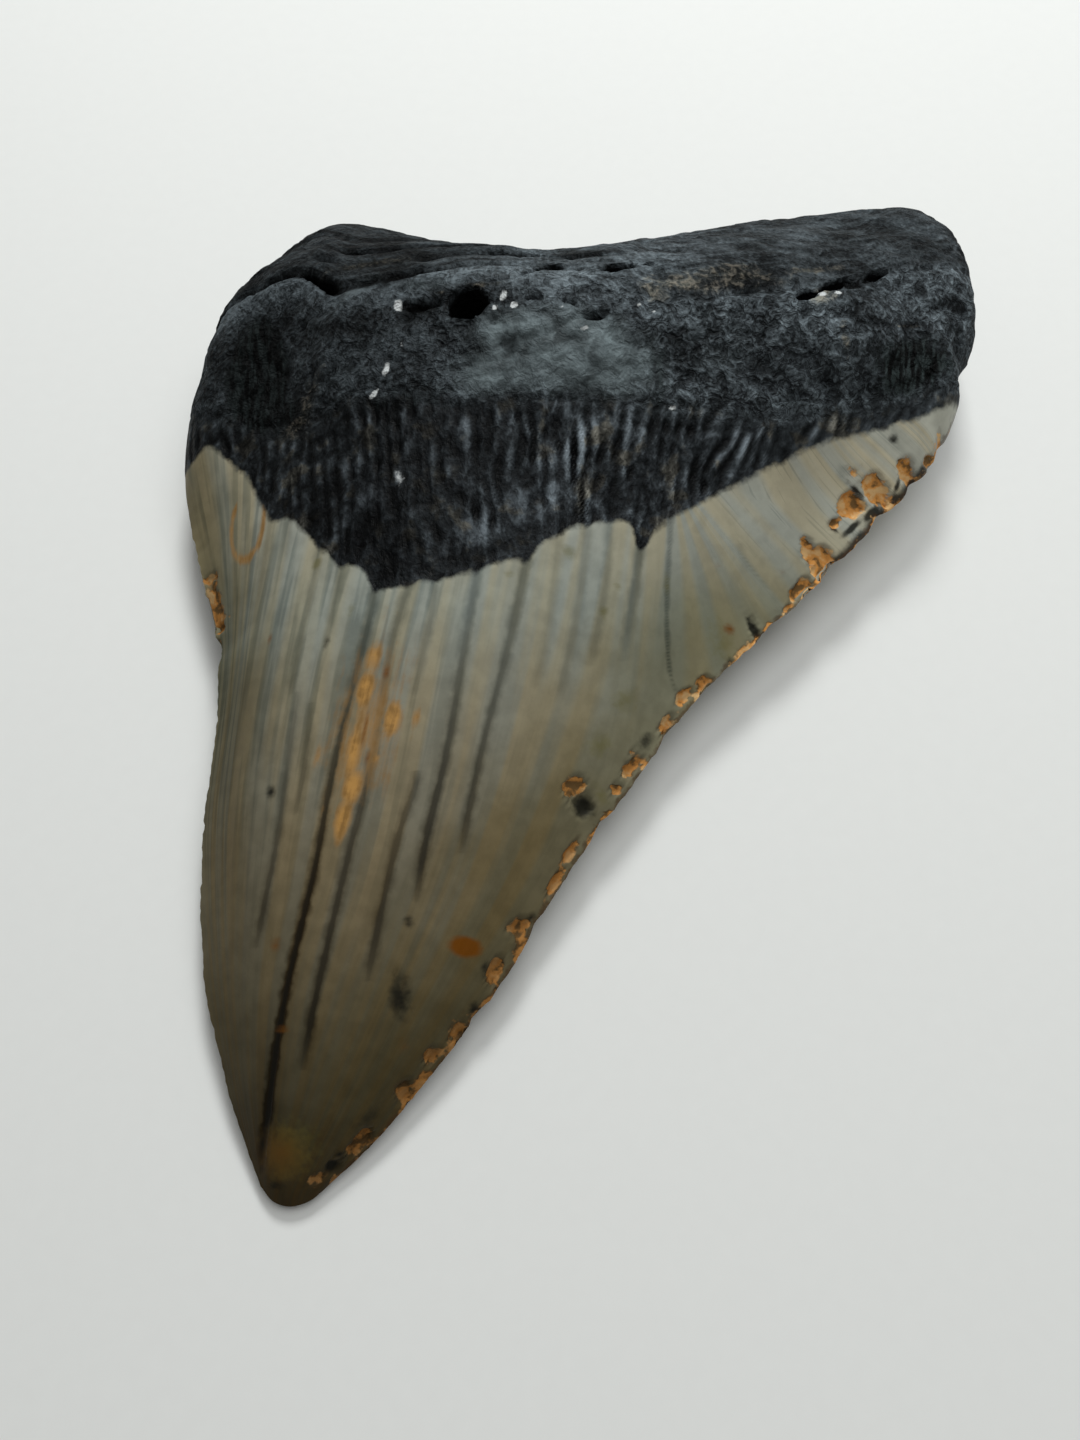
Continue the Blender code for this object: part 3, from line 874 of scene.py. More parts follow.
@dataclass(frozen=True)
class Marks:
    """Chips, stains and specks of the inner face, and its zones of painted shadow, sheen and glint,
    by kind.
    """

    chips: tuple[Spot, ...] = spot_rows(
        (36.1, 18.7, 1.0, 0.7, 40, 1.2, 0.4), (33.4, 17.2, 1.1, 1.3, 20, 1.4, 0.5),
        (29.7, 15.1, 2.2, 1.3, -28, 1.6, 0.6), (27.4, 15.9, 0.9, 0.7, -30, 0.8, 0.2),
        (27.1, 13.1, 1.7, 1.2, 38, 1.6, 0.7), (25.6, 11.4, 1.0, 0.5, 40, 1.0, 0.4),
        (22.4, 8.0, 0.8, 2.0, 20, 1.6, 0.6), (23.8, 7.6, 1.6, 1.3, -20, 1.6, 0.5),
        (23.6, 6.2, 0.9, 0.8, 0, 1.5, 0.6), (21.6, 4.1, 1.7, 1.0, 50, 1.4, 0.5),
        (20.2, 2.2, 1.0, 0.5, 45, 1.0, 0.3), (11.2, -5.9, 1.2, 0.9, 45, 1.2, 0.4),
        (9.2, -7.4, 1.1, 0.7, 45, 1.1, 0.4), (7.4, -10.2, 1.1, 0.8, 50, 0.9, 0.4),
        (3.6, -14.8, 0.8, 1.3, -20, 1.2, 0.5), (2.2, -16.9, 0.5, 0.6, 50, 1.0, 0.3),
        (-2.1, -17.4, 1.2, 0.8, 15, 1.2, 0.3), (-2.5, -23.2, 2.2, 0.6, 62, 1.2, 0.4),
        (-3.9, -25.9, 1.6, 0.5, 58, 1.2, 0.4), (-7.2, -30.0, 1.1, 0.7, 30, 1.1, 0.4),
        (-9.2, -33.8, 0.6, 1.2, -20, 1.1, 0.4), (-12.4, -39.1, 0.9, 0.8, 50, 0.9, 0.4),
        (-14.9, -41.6, 1.0, 0.8, 50, 1.1, 0.4), (-17.2, -44.3, 0.9, 0.9, 45, 1.3, 0.4),
        (-21.0, -48.4, 1.3, 0.8, 40, 1.1, 0.5), (-24.4, -51.3, 0.9, 0.6, 30, 0.9, 0.3),
        (-38.6, 2.4, 3.6, 1.4, 106, 1.3, 0.25), (-37.9, 0.3, 1.0, 0.7, 20, 1.6, 0.5),
    )
    gashes: tuple[Spot, ...] = spot_rows(
        (16.4, -0.3, 1.9, 0.65, -52, 1.0, 0.3), (-1.0, -18.9, 1.5, 1.3, 30, 1.0, 0.5),
        (-23.3, -50.4, 0.9, 0.7, 30, 1.0, 0.3), (-37.9, -1.6, 0.5, 0.8, 0, 1.0, 0.3),
    )
    stains: tuple[tuple[Mark, tuple[Spot, ...]], ...] = (
        (Mark.AMBER, spot_rows(
            (-21.1, -10.2, 1.1, 2.2, -12, 1.8), (-20.4, -7.2, 1.0, 2.0, -12, 1.2),
            (-18.5, -12.9, 1.0, 2.1, -10, 2.0), (-16.4, -12.8, 0.6, 1.2, -10, 0.8),
            (-22.0, -15.8, 1.0, 3.8, -6, 1.5), (-19.9, -16.4, 0.7, 1.0, -10, 0.8),
            (-22.0, -18.9, 1.1, 2.2, -12, 1.9), (-22.8, -21.8, 1.0, 2.6, -12, 1.6),
            (-25.3, -16.0, 0.8, 2.0, -14, 0.6), (-20.8, -13.5, 4.0, 8.5, -12, 0.6),
        )),
        (Mark.RUST, spot_rows(
            (-11.9, -32.1, 1.9, 1.15, 0, 2.3), (-28.5, -32.2, 0.8, 0.9, 0, 0.7),
            (-27.6, -39.3, 0.9, 0.5, 0, 1.0), (-27.6, -49.3, 3.2, 2.8, -20, 1.0),
            (13.7, -0.7, 0.9, 0.7, 0, 1.1), (33.2, 17.4, 0.6, 0.6, 30, 1.0),
            (-19.2, -8.6, 0.5, 1.1, -14, 0.9), (-21.0, -13.8, 0.3, 2.4, -8, 0.9),
            (-20.7, -16.4, 0.35, 1.0, -14, 0.7), (-31.4, -3.0, 0.4, 0.8, -10, 0.8),
            (-17.2, -40.6, 1.0, 1.0, 0, 0.4), (22.6, 8.1, 0.5, 0.8, 10, 0.7),
            (12.4, 4.6, 0.7, 0.5, 0, 0.35), (19.5, 5.5, 0.9, 0.5, 0, 0.35),
        )),
        # Black soot spots, and painted shadow in the gaps between the wing's chips.
        (Mark.SOOT_AND_SHADOW, spot_rows(
            (-17.5, -36.5, 1.4, 2.7, 0, 0.95), (-16.8, -30.3, 0.75, 0.75, 0, 1.0),
            (-30.0, -18.5, 0.75, 0.9, 0, 1.0), (31.6, 19.6, 0.8, 0.6, 0, 1.1),
            (32.3, 15.7, 0.4, 1.2, -20, 1.2), (34.7, 17.0, 1.3, 0.4, 40, 1.2),
            (27.9, 14.5, 1.9, 0.4, -36, 1.3), (29.6, 12.9, 1.7, 0.6, 45, 1.6),
            (27.2, 11.0, 2.0, 0.45, 42, 1.4), (25.2, 10.6, 0.8, 0.4, -30, 1.1),
            (13.8, -3.6, 0.6, 0.5, 45, 0.8), (5.1, -12.1, 1.4, 0.9, 50, 0.9),
            (-6.0, -29.0, 0.8, 0.6, 50, 0.9), (-10.2, -33.8, 0.6, 1.2, -10, 0.7),
            (-11.2, -37.2, 0.9, 0.7, 50, 1.1), (-20.2, -46.4, 2.4, 0.8, 45, 0.5),
            (-22.6, -49.4, 0.8, 0.4, -20, 0.9), (-28.0, -51.9, 1.1, 0.5, 0, 0.8),
            (-29.4, -48.6, 0.6, 1.6, -10, 0.8), (-25.1, -5.1, 0.5, 1.1, -10, 0.7),
        )),
        (Mark.OLIVE, spot_rows(
            (-26.9, -49.0, 3.2, 3.2, 0, 0.8), (-26.5, 2.9, 0.7, 0.8, -20, 1.3),
            (-22.8, -2.6, 0.6, 1.2, -12, 0.6), (-2.5, 3.1, 1.0, 1.0, 0, 1.0),
            (-8.0, 0.5, 0.9, 0.5, 0, 0.7), (0.8, -1.7, 0.7, 0.9, 0, 0.9),
            (2.2, 0.8, 0.6, 0.5, 0, 0.7), (7.1, 1.9, 0.6, 1.4, 0, 0.8),
            (2.9, -8.9, 2.0, 1.4, 40, 0.7), (0.5, -13.2, 2.0, 1.4, 40, 0.7),
            (0.6, -17.6, 0.9, 1.4, 30, 0.8), (13.0, -2.0, 2.2, 3.0, 30, 0.6),
        )),
        (Mark.TAN, spot_rows(
            (9.0, 29.4, 5.0, 1.5, 6, 0.9), (14.5, 31.3, 5.5, 1.7, 8, 1.0),
            (5.6, 27.8, 2.0, 1.3, 0, 0.8), (22.5, 33.8, 4.5, 0.6, 22, 0.8),
            (23.2, 30.2, 2.4, 1.2, 30, 1.0), (25.4, 26.0, 0.5, 2.0, 10, 0.9),
            (33.3, 30.4, 2.8, 0.2, 23, 1.3), (-29.6, 17.8, 1.8, 1.6, 0, 1.1),
            (-28.2, 20.0, 0.9, 3.0, -25, 0.7), (-10.6, 28.2, 2.0, 0.5, 0, 1.1),
            (-14.9, 27.6, 0.9, 0.3, 0, 1.0), (-27.5, 32.2, 0.7, 0.6, -30, 1.0),
            (-22.0, 33.5, 6.0, 0.8, 4, 1.0), (-42.2, 21.8, 1.2, 2.2, 0, 0.8),
        )),
        (Mark.CHALK, spot_rows(
            (-19.0, 27.1, 0.5, 0.6, 0, 1.2), (-18.4, 22.7, 0.25, 0.25, 0, 0.6),
            (-20.0, 20.6, 0.4, 0.75, -20, 1.0), (-21.1, 18.4, 0.6, 0.3, 40, 1.2),
            (-8.7, 26.5, 0.4, 0.8, -12, 1.1), (-7.7, 25.4, 0.45, 0.4, 0, 1.1),
            (-9.5, 25.3, 0.35, 0.3, 0, 0.8), (-3.1, 24.9, 0.25, 0.25, 0, 0.7),
            (-1.3, 26.0, 0.3, 0.15, -30, 0.7), (-1.0, 22.9, 0.5, 0.3, 10, 0.9),
            (4.3, 26.1, 0.3, 0.25, 0, 0.5), (5.8, 25.7, 0.35, 0.2, 0, 0.5),
            (7.6, 17.4, 0.45, 0.3, 0, 0.8), (-18.6, 9.8, 0.5, 0.7, 20, 0.36),
            (24.6, 30.6, 0.5, 0.45, 0, 1.6), (22.9, 30.1, 0.6, 0.4, 20, 1.5),
        )),
        # Paler grey zones: partly the mineral's own colour, partly a painted sheen.
        (Mark.SLATE_SHEEN, spot_rows(
            (-1.0, 21.0, 10.0, 5.0, 0, 1.5), (-8.5, 19.5, 6.0, 3.4, 0, 1.2),
            (-8.0, 22.6, 5.5, 3.6, 0, 1.3), (-24.0, 29.0, 6.0, 2.0, 30, 0.6),
            (-17.0, 29.0, 6.0, 1.2, -10, 0.7), (12.0, 22.5, 5.0, 3.0, 0, 0.4),
        )),
        (Mark.PITCH, spot_rows(
            (-34.2, 24.5, 4.4, 8.0, 10, 2.2), (-30.5, 19.5, 3.0, 2.5, 0, 1.0),
            (-20.0, 17.0, 7.0, 1.6, 5, 1.0), (33.5, 26.5, 7.0, 3.2, 30, 1.6),
            (-16.4, 26.4, 3.0, 1.0, 0, 0.8), (6.0, 20.5, 1.4, 5.0, 0, 0.6),
            (-20.5, 3.0, 4.5, 4.5, -20, 2.0), (-27.0, 8.5, 3.5, 4.5, 40, 1.4),
        )),
        (Mark.GLINT, spot_rows(
            (-18.9, 9.6, 0.6, 0.9, 0, 2.2), (-1.5, 11.8, 3.0, 1.8, 20, 1.2),
            (1.0, 15.2, 5.0, 2.0, 6, 1.0), (11.0, 15.6, 6.0, 1.6, 12, 0.8),
            (-8.0, 6.2, 7.5, 2.3, 26, 2.2), (-13.0, 3.0, 4.0, 1.2, 12, 1.2),
        )),
    )
    ragged: Grain = Grain((1.2, 1.2, 1.0), 67, 0.8)
    # Painted shade in the gashes.
    gash_shade: float = 1.4
    # Amber ring round a former scar, open at its upper end.
    ring: Spot = Spot(-34.7, 9.6, 2.0, 3.6, strength=0.8)
    ring_half: float = 0.2  # half its thickness, as a share of its reach
    ring_open: Pair = (1.6, 4.0)  # above its centre, from shut to open
    ring_gap: float = 1.6
    chip_wall: float = 0.45
    # Worn spots along the right cutting edge.
    bare_reach: float = 1.3
    bare_middle: float = 0.15
    bare_spots: Grain = Grain((2.6, 2.6, 1.0), 91, 0.8)
    # Painted shadow along that edge on the wing, which shows between the chips.
    edge_shadow_x: Pair = (24.5, 35.0)
    edge_shadow_fade: float = 2.0
    edge_shadow_reach: float = 0.8
    edge_shadow_middle: float = -0.3
    wing_shadow: float = 1.5
    edge_shadow_spots: Grain = Grain((2.0, 2.0, 1.0), 93, 0.5)

    def dish(self, x: Array, y: Array, ragged: Array) -> Array:
        """Depth of shell-shaped breaks: flat floors with walls that rise near the ellipse."""
        total = np.zeros_like(x)
        for spot in self.chips + self.gashes:
            level = smooth_step(0, self.chip_wall, spot.field(x, y) + ragged)
            total = np.maximum(total, spot.depth * level)
        return total

    def fields(self, x: Array, y: Array, right_gap: Array, ragged: Array) -> dict[str, Array]:
        """The field of each kind of mark on the inner face.

        Chips share their ragged outline with their form. Between them the worn edge is bare in
        spots, and on the wing it is dark with painted shadow. The gashes are dark with painted
        shade.

        Args:
            x: places across.
            y: places along.
            right_gap: distance to the right cutting edge.
            ragged: noise that breaks up the rims of the chips.

        Returns:
            One array for each attribute name.
        """
        made = {}
        for kind, group in (*self.stains, (Mark.DENTINE, self.chips)):
            best = np.full(x.shape, FIELD_FLOOR)
            for spot in group:
                best = np.maximum(best, spot.field(x, y))
            made[kind.value] = best
        flat = flat_places(x, y)
        # Painted shadow along the right edge on the wing.
        low, high = self.edge_shadow_x
        fade = self.edge_shadow_fade
        wing = smooth_step(low - fade, low, x) * smooth_step(high + fade, high, x)
        dark = self.wing_shadow * wing + self.edge_shadow_middle + self.edge_shadow_spots.at(flat)
        shut = smooth_step(*(self.ring.y + above for above in self.ring_open), y)
        ring = 1 - np.abs(self.ring.radius(x, y) - 1) / self.ring_half - self.ring_gap * shut
        bare = self.bare_spots.at(flat) + self.bare_middle - right_gap / self.bare_reach
        for kind, added in (
            (Mark.DENTINE, bare),
            (Mark.SOOT_AND_SHADOW, dark - right_gap / self.edge_shadow_reach),
            (Mark.AMBER, self.ring.strength * ring),
            *((Mark.SOOT_AND_SHADOW, self.gash_shade * spot.field(x, y)) for spot in self.gashes),
        ):
            made[kind.value] = np.maximum(made[kind.value], added)
        made[Mark.DENTINE.value] = made[Mark.DENTINE.value] + ragged
        return made


# ---------------------------------------------------------------- the tooth's mesh


@dataclass
class Sheet:
    """One face of the tooth on its grid: its points, its relief, and what the finish needs."""

    points: Array
    inner: bool
    relief: Array
    fields: dict[str, Array]

    def normals(self) -> Array:
        """Unit normals that point out: the cross product of the grid's two differences."""
        over = np.gradient(self.points, axis=1)
        up = np.gradient(self.points, axis=0)
        normal = np.cross(over, up) if self.inner else np.cross(up, over)
        return normal / np.linalg.norm(normal, axis=-1, keepdims=True)


@dataclass
class Tooth:
    """The fossil tooth: one closed mesh with its marks as attributes."""

    name: str = "fossil_tooth"
    node: str = "tooth"
    columns: int = 280
    rows: int = 280
    # How closely the grid's lines lie: along both side rims, at the margin, and rootward.
    rim_reach: float = 0.02
    side_density: float = 1.5
    margin_density: float = 2.0
    root_density: float = 0.45
    root_from: Pair = (0.42, 0.5)
    outline: Outline = Outline()
    inner_form: InnerForm = InnerForm()
    outer_form: OuterForm = OuterForm()
    enamel: Enamel = Enamel()
    band: Band = Band()
    root: Root = Root()
    marks: Marks = Marks()
    # The cutting edges, where they run, and how fast their notches die out inwards.
    edge_end: Pair = (0.76, 0.7)
    edge_start: Pair = (0.0, 0.03)
    edge_pull: float = 45.0
    left_seed: int = 51
    right_seed: int = 53
    serration_pitch: float = 1.35
    serration: float = 0.03
    wear: float = 0.12
    wear_length: float = 3.0
    worn_smooth: Pair = (0.5, 0.1)  # wear past which the serration is gone
    sharp_degrees: float = 65.0

    def places(self) -> tuple[Array, Array]:
        """Grid places across and along, closer at the rim, in the band and in the root."""
        def over(u: Array) -> Array:
            """Density across."""
            ends = np.exp(-u / self.rim_reach) + np.exp(-(1 - u) / self.rim_reach)
            return 1 + self.side_density * ends

        def down(v: Array) -> Array:
            """Density along."""
            margin = self.margin_density * np.exp(-(1 - v) / self.rim_reach)
            ends = np.exp(-v / self.rim_reach) + margin
            return 1 + self.root_density * smooth_step(*self.root_from, v) + ends

        return spaced(self.columns, over), spaced(self.rows, down)

    def worn_edges(self, plan: Array, across: Array, along: Array) -> Array:
        """The plan with serrated and worn cutting edges.

        Each edge moves out and in by a wave along its length, and in by noise where it is worn.
        Both die out as a power of the distance from the edge, and they stop at the root.

        Args:
            plan: x and y of the grid.
            across: places from edge to edge.
            along: places from tip to margin.

        Returns:
            x and y of the grid.
        """
        on_crown = smooth_step(*self.edge_end, along) * smooth_step(*self.edge_start, along)
        moved = plan
        for column, into, share, seed in (
            (0, self.outline.into_left, 1 - across, self.left_seed),
            (-1, self.outline.into_right, across, self.right_seed),
        ):
            edge = plan[:, column]
            steps = np.linalg.norm(np.diff(edge, axis=0), axis=1)
            length = np.concatenate([[0], np.cumsum(steps)])
            wave = self.serration * np.cos(2 * math.pi * length / self.serration_pitch)
            line = flat_places(length / self.wear_length, 0 * length)
            noise = lattice_noise(line, seed) + lattice_noise(3 * line, seed)
            worn = self.wear * np.clip(noise, 0, 1)
            inward = (worn - wave * smooth_step(*self.worn_smooth, worn)) * on_crown
            inward = inward[:, None] * share[None] ** self.edge_pull
            moved = moved + inward[..., None] * np.array(into)
        return moved

    def inner_sheet(self, across: Array, along: Array) -> Sheet:
        """The inner face with its large form, its fine relief and the fields of its marks.

        Args:
            across: places from edge to edge.
            along: places from tip to margin.

        Returns:
            The sheet, its relief still to be raised.
        """
        plan = self.worn_edges(self.outline.plan(across, along), across, along)
        x, y = plan[..., 0], plan[..., 1]
        over_rim = self.inner_form.over_rim(across, along)
        inside = smooth_step(0, self.root.ramp, over_rim)
        from_edge = self.enamel.from_edge(x, y, True)
        offset, dark = crack_field(self.enamel.cracks, x, y)
        flat = flat_places(x, y)
        near = np.exp(-((offset / self.enamel.notch_half_width) ** 2))
        from_edge = from_edge + self.enamel.ragged.at(flat)
        from_edge = from_edge + self.enamel.notch * dark * near
        half = self.enamel.step_half_width
        enamel = smooth_step(half, -half, from_edge - self.enamel.step_centre)
        past = self.root.past_crease(across, along, flat)
        groove = self.root.grooves(past, across, flat)
        form = self.enamel.step * enamel - groove
        form = form + self.root.bells(x, y) - self.root.pits(flat) * (1 - enamel)
        rim = self.outline.rim(across, along)
        points = np.stack([x, y, rim + over_rim + form * inside], axis=-1)

        below_top = self.band.below_top(x, y)
        stroke = self.band.stroke(points)
        in_band = smooth_step(0, self.band.edge_fade, from_edge)
        in_band = in_band * smooth_step(*self.band.fade, below_top)
        ridges = self.band.ridges(points, stroke)
        basal = smooth_step(*self.root.basal, self.inner_form.past_ledge(across, along))
        texture = self.root.texture(points, basal)
        in_root = (1 - enamel) * (1 - self.band.root_hidden * in_band)
        left_gap, right_gap = self.outline.edge_gaps(across, along)
        ragged = self.marks.ragged.at(flat)
        chipped = self.marks.dish(x, y, ragged)
        half = self.enamel.crack_half_width
        opened = self.enamel.crack_depth * dark * np.clip(1 - offset / half, 0, 1)
        growth = self.enamel.growth_place(x, y)
        swell = self.enamel.lanes.at(flat_places(growth, y)) + self.enamel.swell_spots.at(flat)
        swell = self.enamel.swell * swell
        relief = enamel * (swell * inside - opened - chipped)
        relief = relief + self.band.height * in_band * ridges * inside + in_root * texture
        # Depth of the root's hollows, which the finish darkens as painted shade.
        hollow = in_root * texture - self.root.pits(flat) * inside - groove
        fields = self.marks.fields(x, y, right_gap, ragged) | dict(
            from_edge=from_edge, below_top=below_top, stroke=stroke, ridge=ridges, growth=growth,
            crack=offset, crack_dark=dark, left_gap=left_gap, right_gap=right_gap, hollow=hollow,
            past=past,
        )
        return Sheet(points, True, relief, fields)

    def outer_sheet(self, across: Array, along: Array, plan: Array) -> Sheet:
        """The outer face, on the same plan.

        Args:
            across: places from edge to edge.
            along: places from tip to margin.
            plan: x and y of the grid.

        Returns:
            The sheet, its relief still to be raised.
        """
        x, y = plan[..., 0], plan[..., 1]
        rim = self.outline.rim(across, along)
        height = self.outer_form.height(plan, rim, across, along)
        points = np.stack([x, y, height], axis=-1)
        flat = flat_places(x, y)
        from_edge = self.enamel.from_edge(x, y, False) + self.enamel.outer_ragged.at(flat)
        half = self.enamel.outer_half_width
        enamel = smooth_step(half, -half, from_edge)
        basal = smooth_step(*self.root.basal, self.inner_form.past_ledge(across, along))
        texture = self.root.texture(points, basal)
        growth = self.enamel.growth_place(x, y)
        lanes = self.enamel.outer_lanes.at(flat_places(growth, y))
        relief = (1 - enamel) * texture + enamel * self.enamel.swell * lanes
        left_gap, right_gap = self.outline.edge_gaps(across, along)
        empty = np.full(x.shape, FIELD_FLOOR)
        fields = {kind.value: empty for kind in Mark} | dict(
            from_edge=from_edge, below_top=np.full(x.shape, NO_BAND), stroke=x, ridge=0 * x,
            growth=growth, crack=np.full(x.shape, CRACK_REACH), crack_dark=0 * x,
            left_gap=left_gap, right_gap=right_gap, hollow=(1 - enamel) * texture,
            past=self.root.past_crease(across, along, flat),
        )
        return Sheet(points, False, relief, fields)

    def raised(self, sheet: Sheet) -> Array:
        """The sheet's points moved out along their normals by the relief, sideways on the rim."""
        normal = sheet.normals()
        for line in (np.s_[0], np.s_[-1], np.s_[:, 0], np.s_[:, -1]):
            level = normal[line] * np.array([1, 1, 0])
            normal[line] = level / np.linalg.norm(level, axis=-1, keepdims=True)
        return sheet.points + normal * sheet.relief[..., None]

    def joined(
        self, inner: Sheet, outer: Sheet
    ) -> tuple[Array, list[list[int]], dict[str, Array]]:
        """Both sheets as one closed surface.

        The outer sheet has every second line of the inner one, so each of its cells on the rim
        takes in the rim point between its two corners, and the cell has five or six corners. A
        cell's row holds its corners at even places and such points, or -1, between them.

        Args:
            inner: the upper sheet.
            outer: the lower sheet.

        Returns:
            (points, faces, one array for each field).
        """
        rows, columns = inner.points.shape[:2]
        top = np.arange(rows * columns).reshape(rows, columns)
        under = top[::2, ::2].copy()
        inside = (under.shape[0] - 2, under.shape[1] - 2)
        under[1:-1, 1:-1] = rows * columns + np.arange(inside[0] * inside[1]).reshape(inside)
        upper = np.stack([top[:-1, :-1], top[:-1, 1:], top[1:, 1:], top[1:, :-1]], axis=-1)
        corners = (under[:-1, :-1], under[1:, :-1], under[1:, 1:], under[:-1, 1:])
        lower = np.full((*corners[0].shape, 8), -1)
        lower[..., ::2] = np.stack(corners, axis=-1)
        lower[:, 0, 1], lower[:, -1, 5] = top[1::2, 0], top[1::2, -1]
        lower[-1, :, 3], lower[0, :, 7] = top[-1, 1::2], top[0, 1::2]
        faces = upper.reshape(-1, 4).tolist()
        faces += [[at for at in cell if at >= 0] for cell in lower.reshape(-1, 8).tolist()]
        upper_points, lower_points = self.raised(inner), self.raised(outer)
        lower_points[..., 2] = np.maximum(lower_points[..., 2], 0)
        points = np.vstack([upper_points.reshape(-1, 3), lower_points[1:-1, 1:-1].reshape(-1, 3)])
        fields = {
            name: np.concatenate([values.ravel(), outer.fields[name][1:-1, 1:-1].ravel()])
            for name, values in inner.fields.items()
        }
        return points, faces, fields

    def build(self) -> bpy.types.Object:
        """The tooth as one mesh object at the origin, with its fields as point attributes."""
        across, along = self.places()
        inner = self.inner_sheet(across, along)
        coarse = np.s_[::2, ::2]
        outer = self.outer_sheet(across[::2], along[::2], inner.points[coarse][..., :2])
        points, faces, fields = self.joined(inner, outer)
        mesh = bpy.data.meshes.new(self.name)
        mesh.from_pydata((points * MM).tolist(), [], faces)
        for name, values in fields.items():
            layer = mesh.attributes.new(name, "FLOAT", "POINT")
            layer.data.foreach_set("value", values.astype(np.float32))
        mesh.shade_smooth()
        mesh.set_sharp_from_angle(angle=math.radians(self.sharp_degrees))
        return placed(bpy.data.objects.new(self.name, mesh))


# ---------------------------------------------------------------- finishes


WHITE: Colour = (1.0, 1.0, 1.0)
COLOUR_SLOTS = (0, 6, 7, 2)  # of a Mix node: share, below and above going in, and the result
NUMBER_SLOTS = (0, 2, 3, 0)


@dataclass(frozen=True)
class Change:
    """An S-shaped change from start to end while a value goes from low to high."""

    low: float
    high: float
    start: float = 0.0
    end: float = 1.0


@dataclass(frozen=True)
class Grit:
    """A noise texture: its spots are 1 / scale wide, and it has finer layers and a warp."""

    scale: float
    detail: float = 2.0
    warp: float = 0.0


@dataclass(frozen=True)
class Rim:
    """A mark's rim: how far its field rises to the full mark, how ragged it is, and its start."""

    soft: float = 0.3
    rough: float = 0.6
    start: float = 0.0


@dataclass
class Coat:
    """One finish as three sockets: colour, roughness, and height in millimetres."""

    colour: Socket
    roughness: Socket
    height: Socket


class Paint:
    """Short words for the nodes of one material."""

    def __init__(self, tree: bpy.types.NodeTree) -> None:
        """Starts with the surface's place in millimetres, from Object coordinates."""
        self.tree = tree
        mapping = tree.nodes.new("ShaderNodeMapping")
        self.put(mapping.inputs["Vector"], tree.nodes.new("ShaderNodeTexCoord").outputs["Object"])
        self.put(mapping.inputs["Scale"], (1 / MM,) * 3)
        self.place = mapping.outputs["Vector"]
        parts = tree.nodes.new("ShaderNodeSeparateXYZ")
        self.put(parts.inputs[0], self.place)
        self.x, self.y, self.z = parts.outputs

    def put(self, socket: Socket, value: object) -> None:
        """Links a socket to another one, or sets its number or colour."""
        if isinstance(value, bpy.types.NodeSocket):
            self.tree.links.new(value, socket)
        elif isinstance(value, tuple) and socket.type == "RGBA":
            socket.default_value = (*value, 1)
        elif socket.type == "RGBA":
            socket.default_value = (value, value, value, 1)
        else:
            socket.default_value = value

    def attribute(self, name: str) -> Socket:
        """A field of the mesh."""
        node = self.tree.nodes.new("ShaderNodeAttribute")
        node.attribute_name = name
        return node.outputs["Fac"]

    def vector(self, x: object, y: object, z: object = 0.0) -> Socket:
        """A vector from its three parts."""
        node = self.tree.nodes.new("ShaderNodeCombineXYZ")
        for socket, value in zip(node.inputs, (x, y, z)):
            self.put(socket, value)
        return node.outputs[0]

    def noise(self, grit: Grit, vector: Socket | None = None) -> Socket:
        """Noise from 0 to 1, over the surface's place where no vector is given."""
        node = self.tree.nodes.new("ShaderNodeTexNoise")
        where = self.place if vector is None else vector
        given = (where, grit.scale, grit.detail, grit.warp)
        for name, value in zip(("Vector", "Scale", "Detail", "Distortion"), given):
            self.put(node.inputs[name], value)
        return node.outputs["Fac"]

    def math(self, operation: str, a: object, b: object = 0.0, c: object = 0.0) -> Socket:
        """A Math node with up to three inputs."""
        node = self.tree.nodes.new("ShaderNodeMath")
        node.operation = operation
        for socket, value in zip(node.inputs, (a, b, c)):
            self.put(socket, value)
        return node.outputs[0]

    def add(self, *values: object) -> Socket:
        """Sum of the values."""
        return functools.reduce(lambda total, value: self.math("ADD", total, value), values)

    def times(self, *values: object) -> Socket:
        """Product of the values."""
        return functools.reduce(lambda total, value: self.math("MULTIPLY", total, value), values)

    def weighted(self, *pairs: tuple[object, object]) -> Socket:
        """Sum of (value, weight) pairs."""
        return self.add(*(self.times(value, weight) for value, weight in pairs))

    def rise(self, value: object, change: Change) -> Socket:
        """The value put through an S-shaped change."""
        node = self.tree.nodes.new("ShaderNodeMapRange")
        node.interpolation_type = "SMOOTHSTEP"
        given = (value, change.low, change.high, change.start, change.end)
        for name, part in zip(("Value", "From Min", "From Max", "To Min", "To Max"), given):
            self.put(node.inputs[name], part)
        return node.outputs["Result"]

    def zone(self, across: Change, along: Change) -> Socket:
        """Mask of a part of the tooth: a change of x times a change of y."""
        return self.times(self.rise(self.x, across), self.rise(self.y, along))

    def mix(self, mode: str | None, *given: object) -> Socket:
        """A Mix node for colours in the given mode, or for numbers where the mode is None.

        Args:
            mode: the way in which colours are mixed.
            given: the share, the value where it is 0, and the value where it is 1.

        Returns:
            The mixed colour or number.
        """
        node = self.tree.nodes.new("ShaderNodeMix")
        if mode:
            node.data_type = "RGBA"
            node.blend_type = mode
        *slots, result = COLOUR_SLOTS if mode else NUMBER_SLOTS
        for slot, value in zip(slots, given):
            self.put(node.inputs[slot], value)
        return node.outputs[result]

    def blend(self, share: object, below: object, above: object) -> Socket:
        """Colour that goes from below to above as the share goes from 0 to 1."""
        return self.mix("MIX", share, below, above)

    def tinted(self, colour: object, factor: object) -> Socket:
        """The colour times a factor, which is a number or another colour."""
        return self.mix("MULTIPLY", 1.0, colour, factor)

    def toned(self, colour: object, share: object, tint: object) -> Socket:
        """The colour times a tint where the share is 1, and as it was where the share is 0."""
        return self.tinted(colour, self.blend(share, WHITE, tint))

    def level(self, share: object, below: object, above: object) -> Socket:
        """Number that goes from below to above as the share goes from 0 to 1."""
        return self.mix(None, share, below, above)

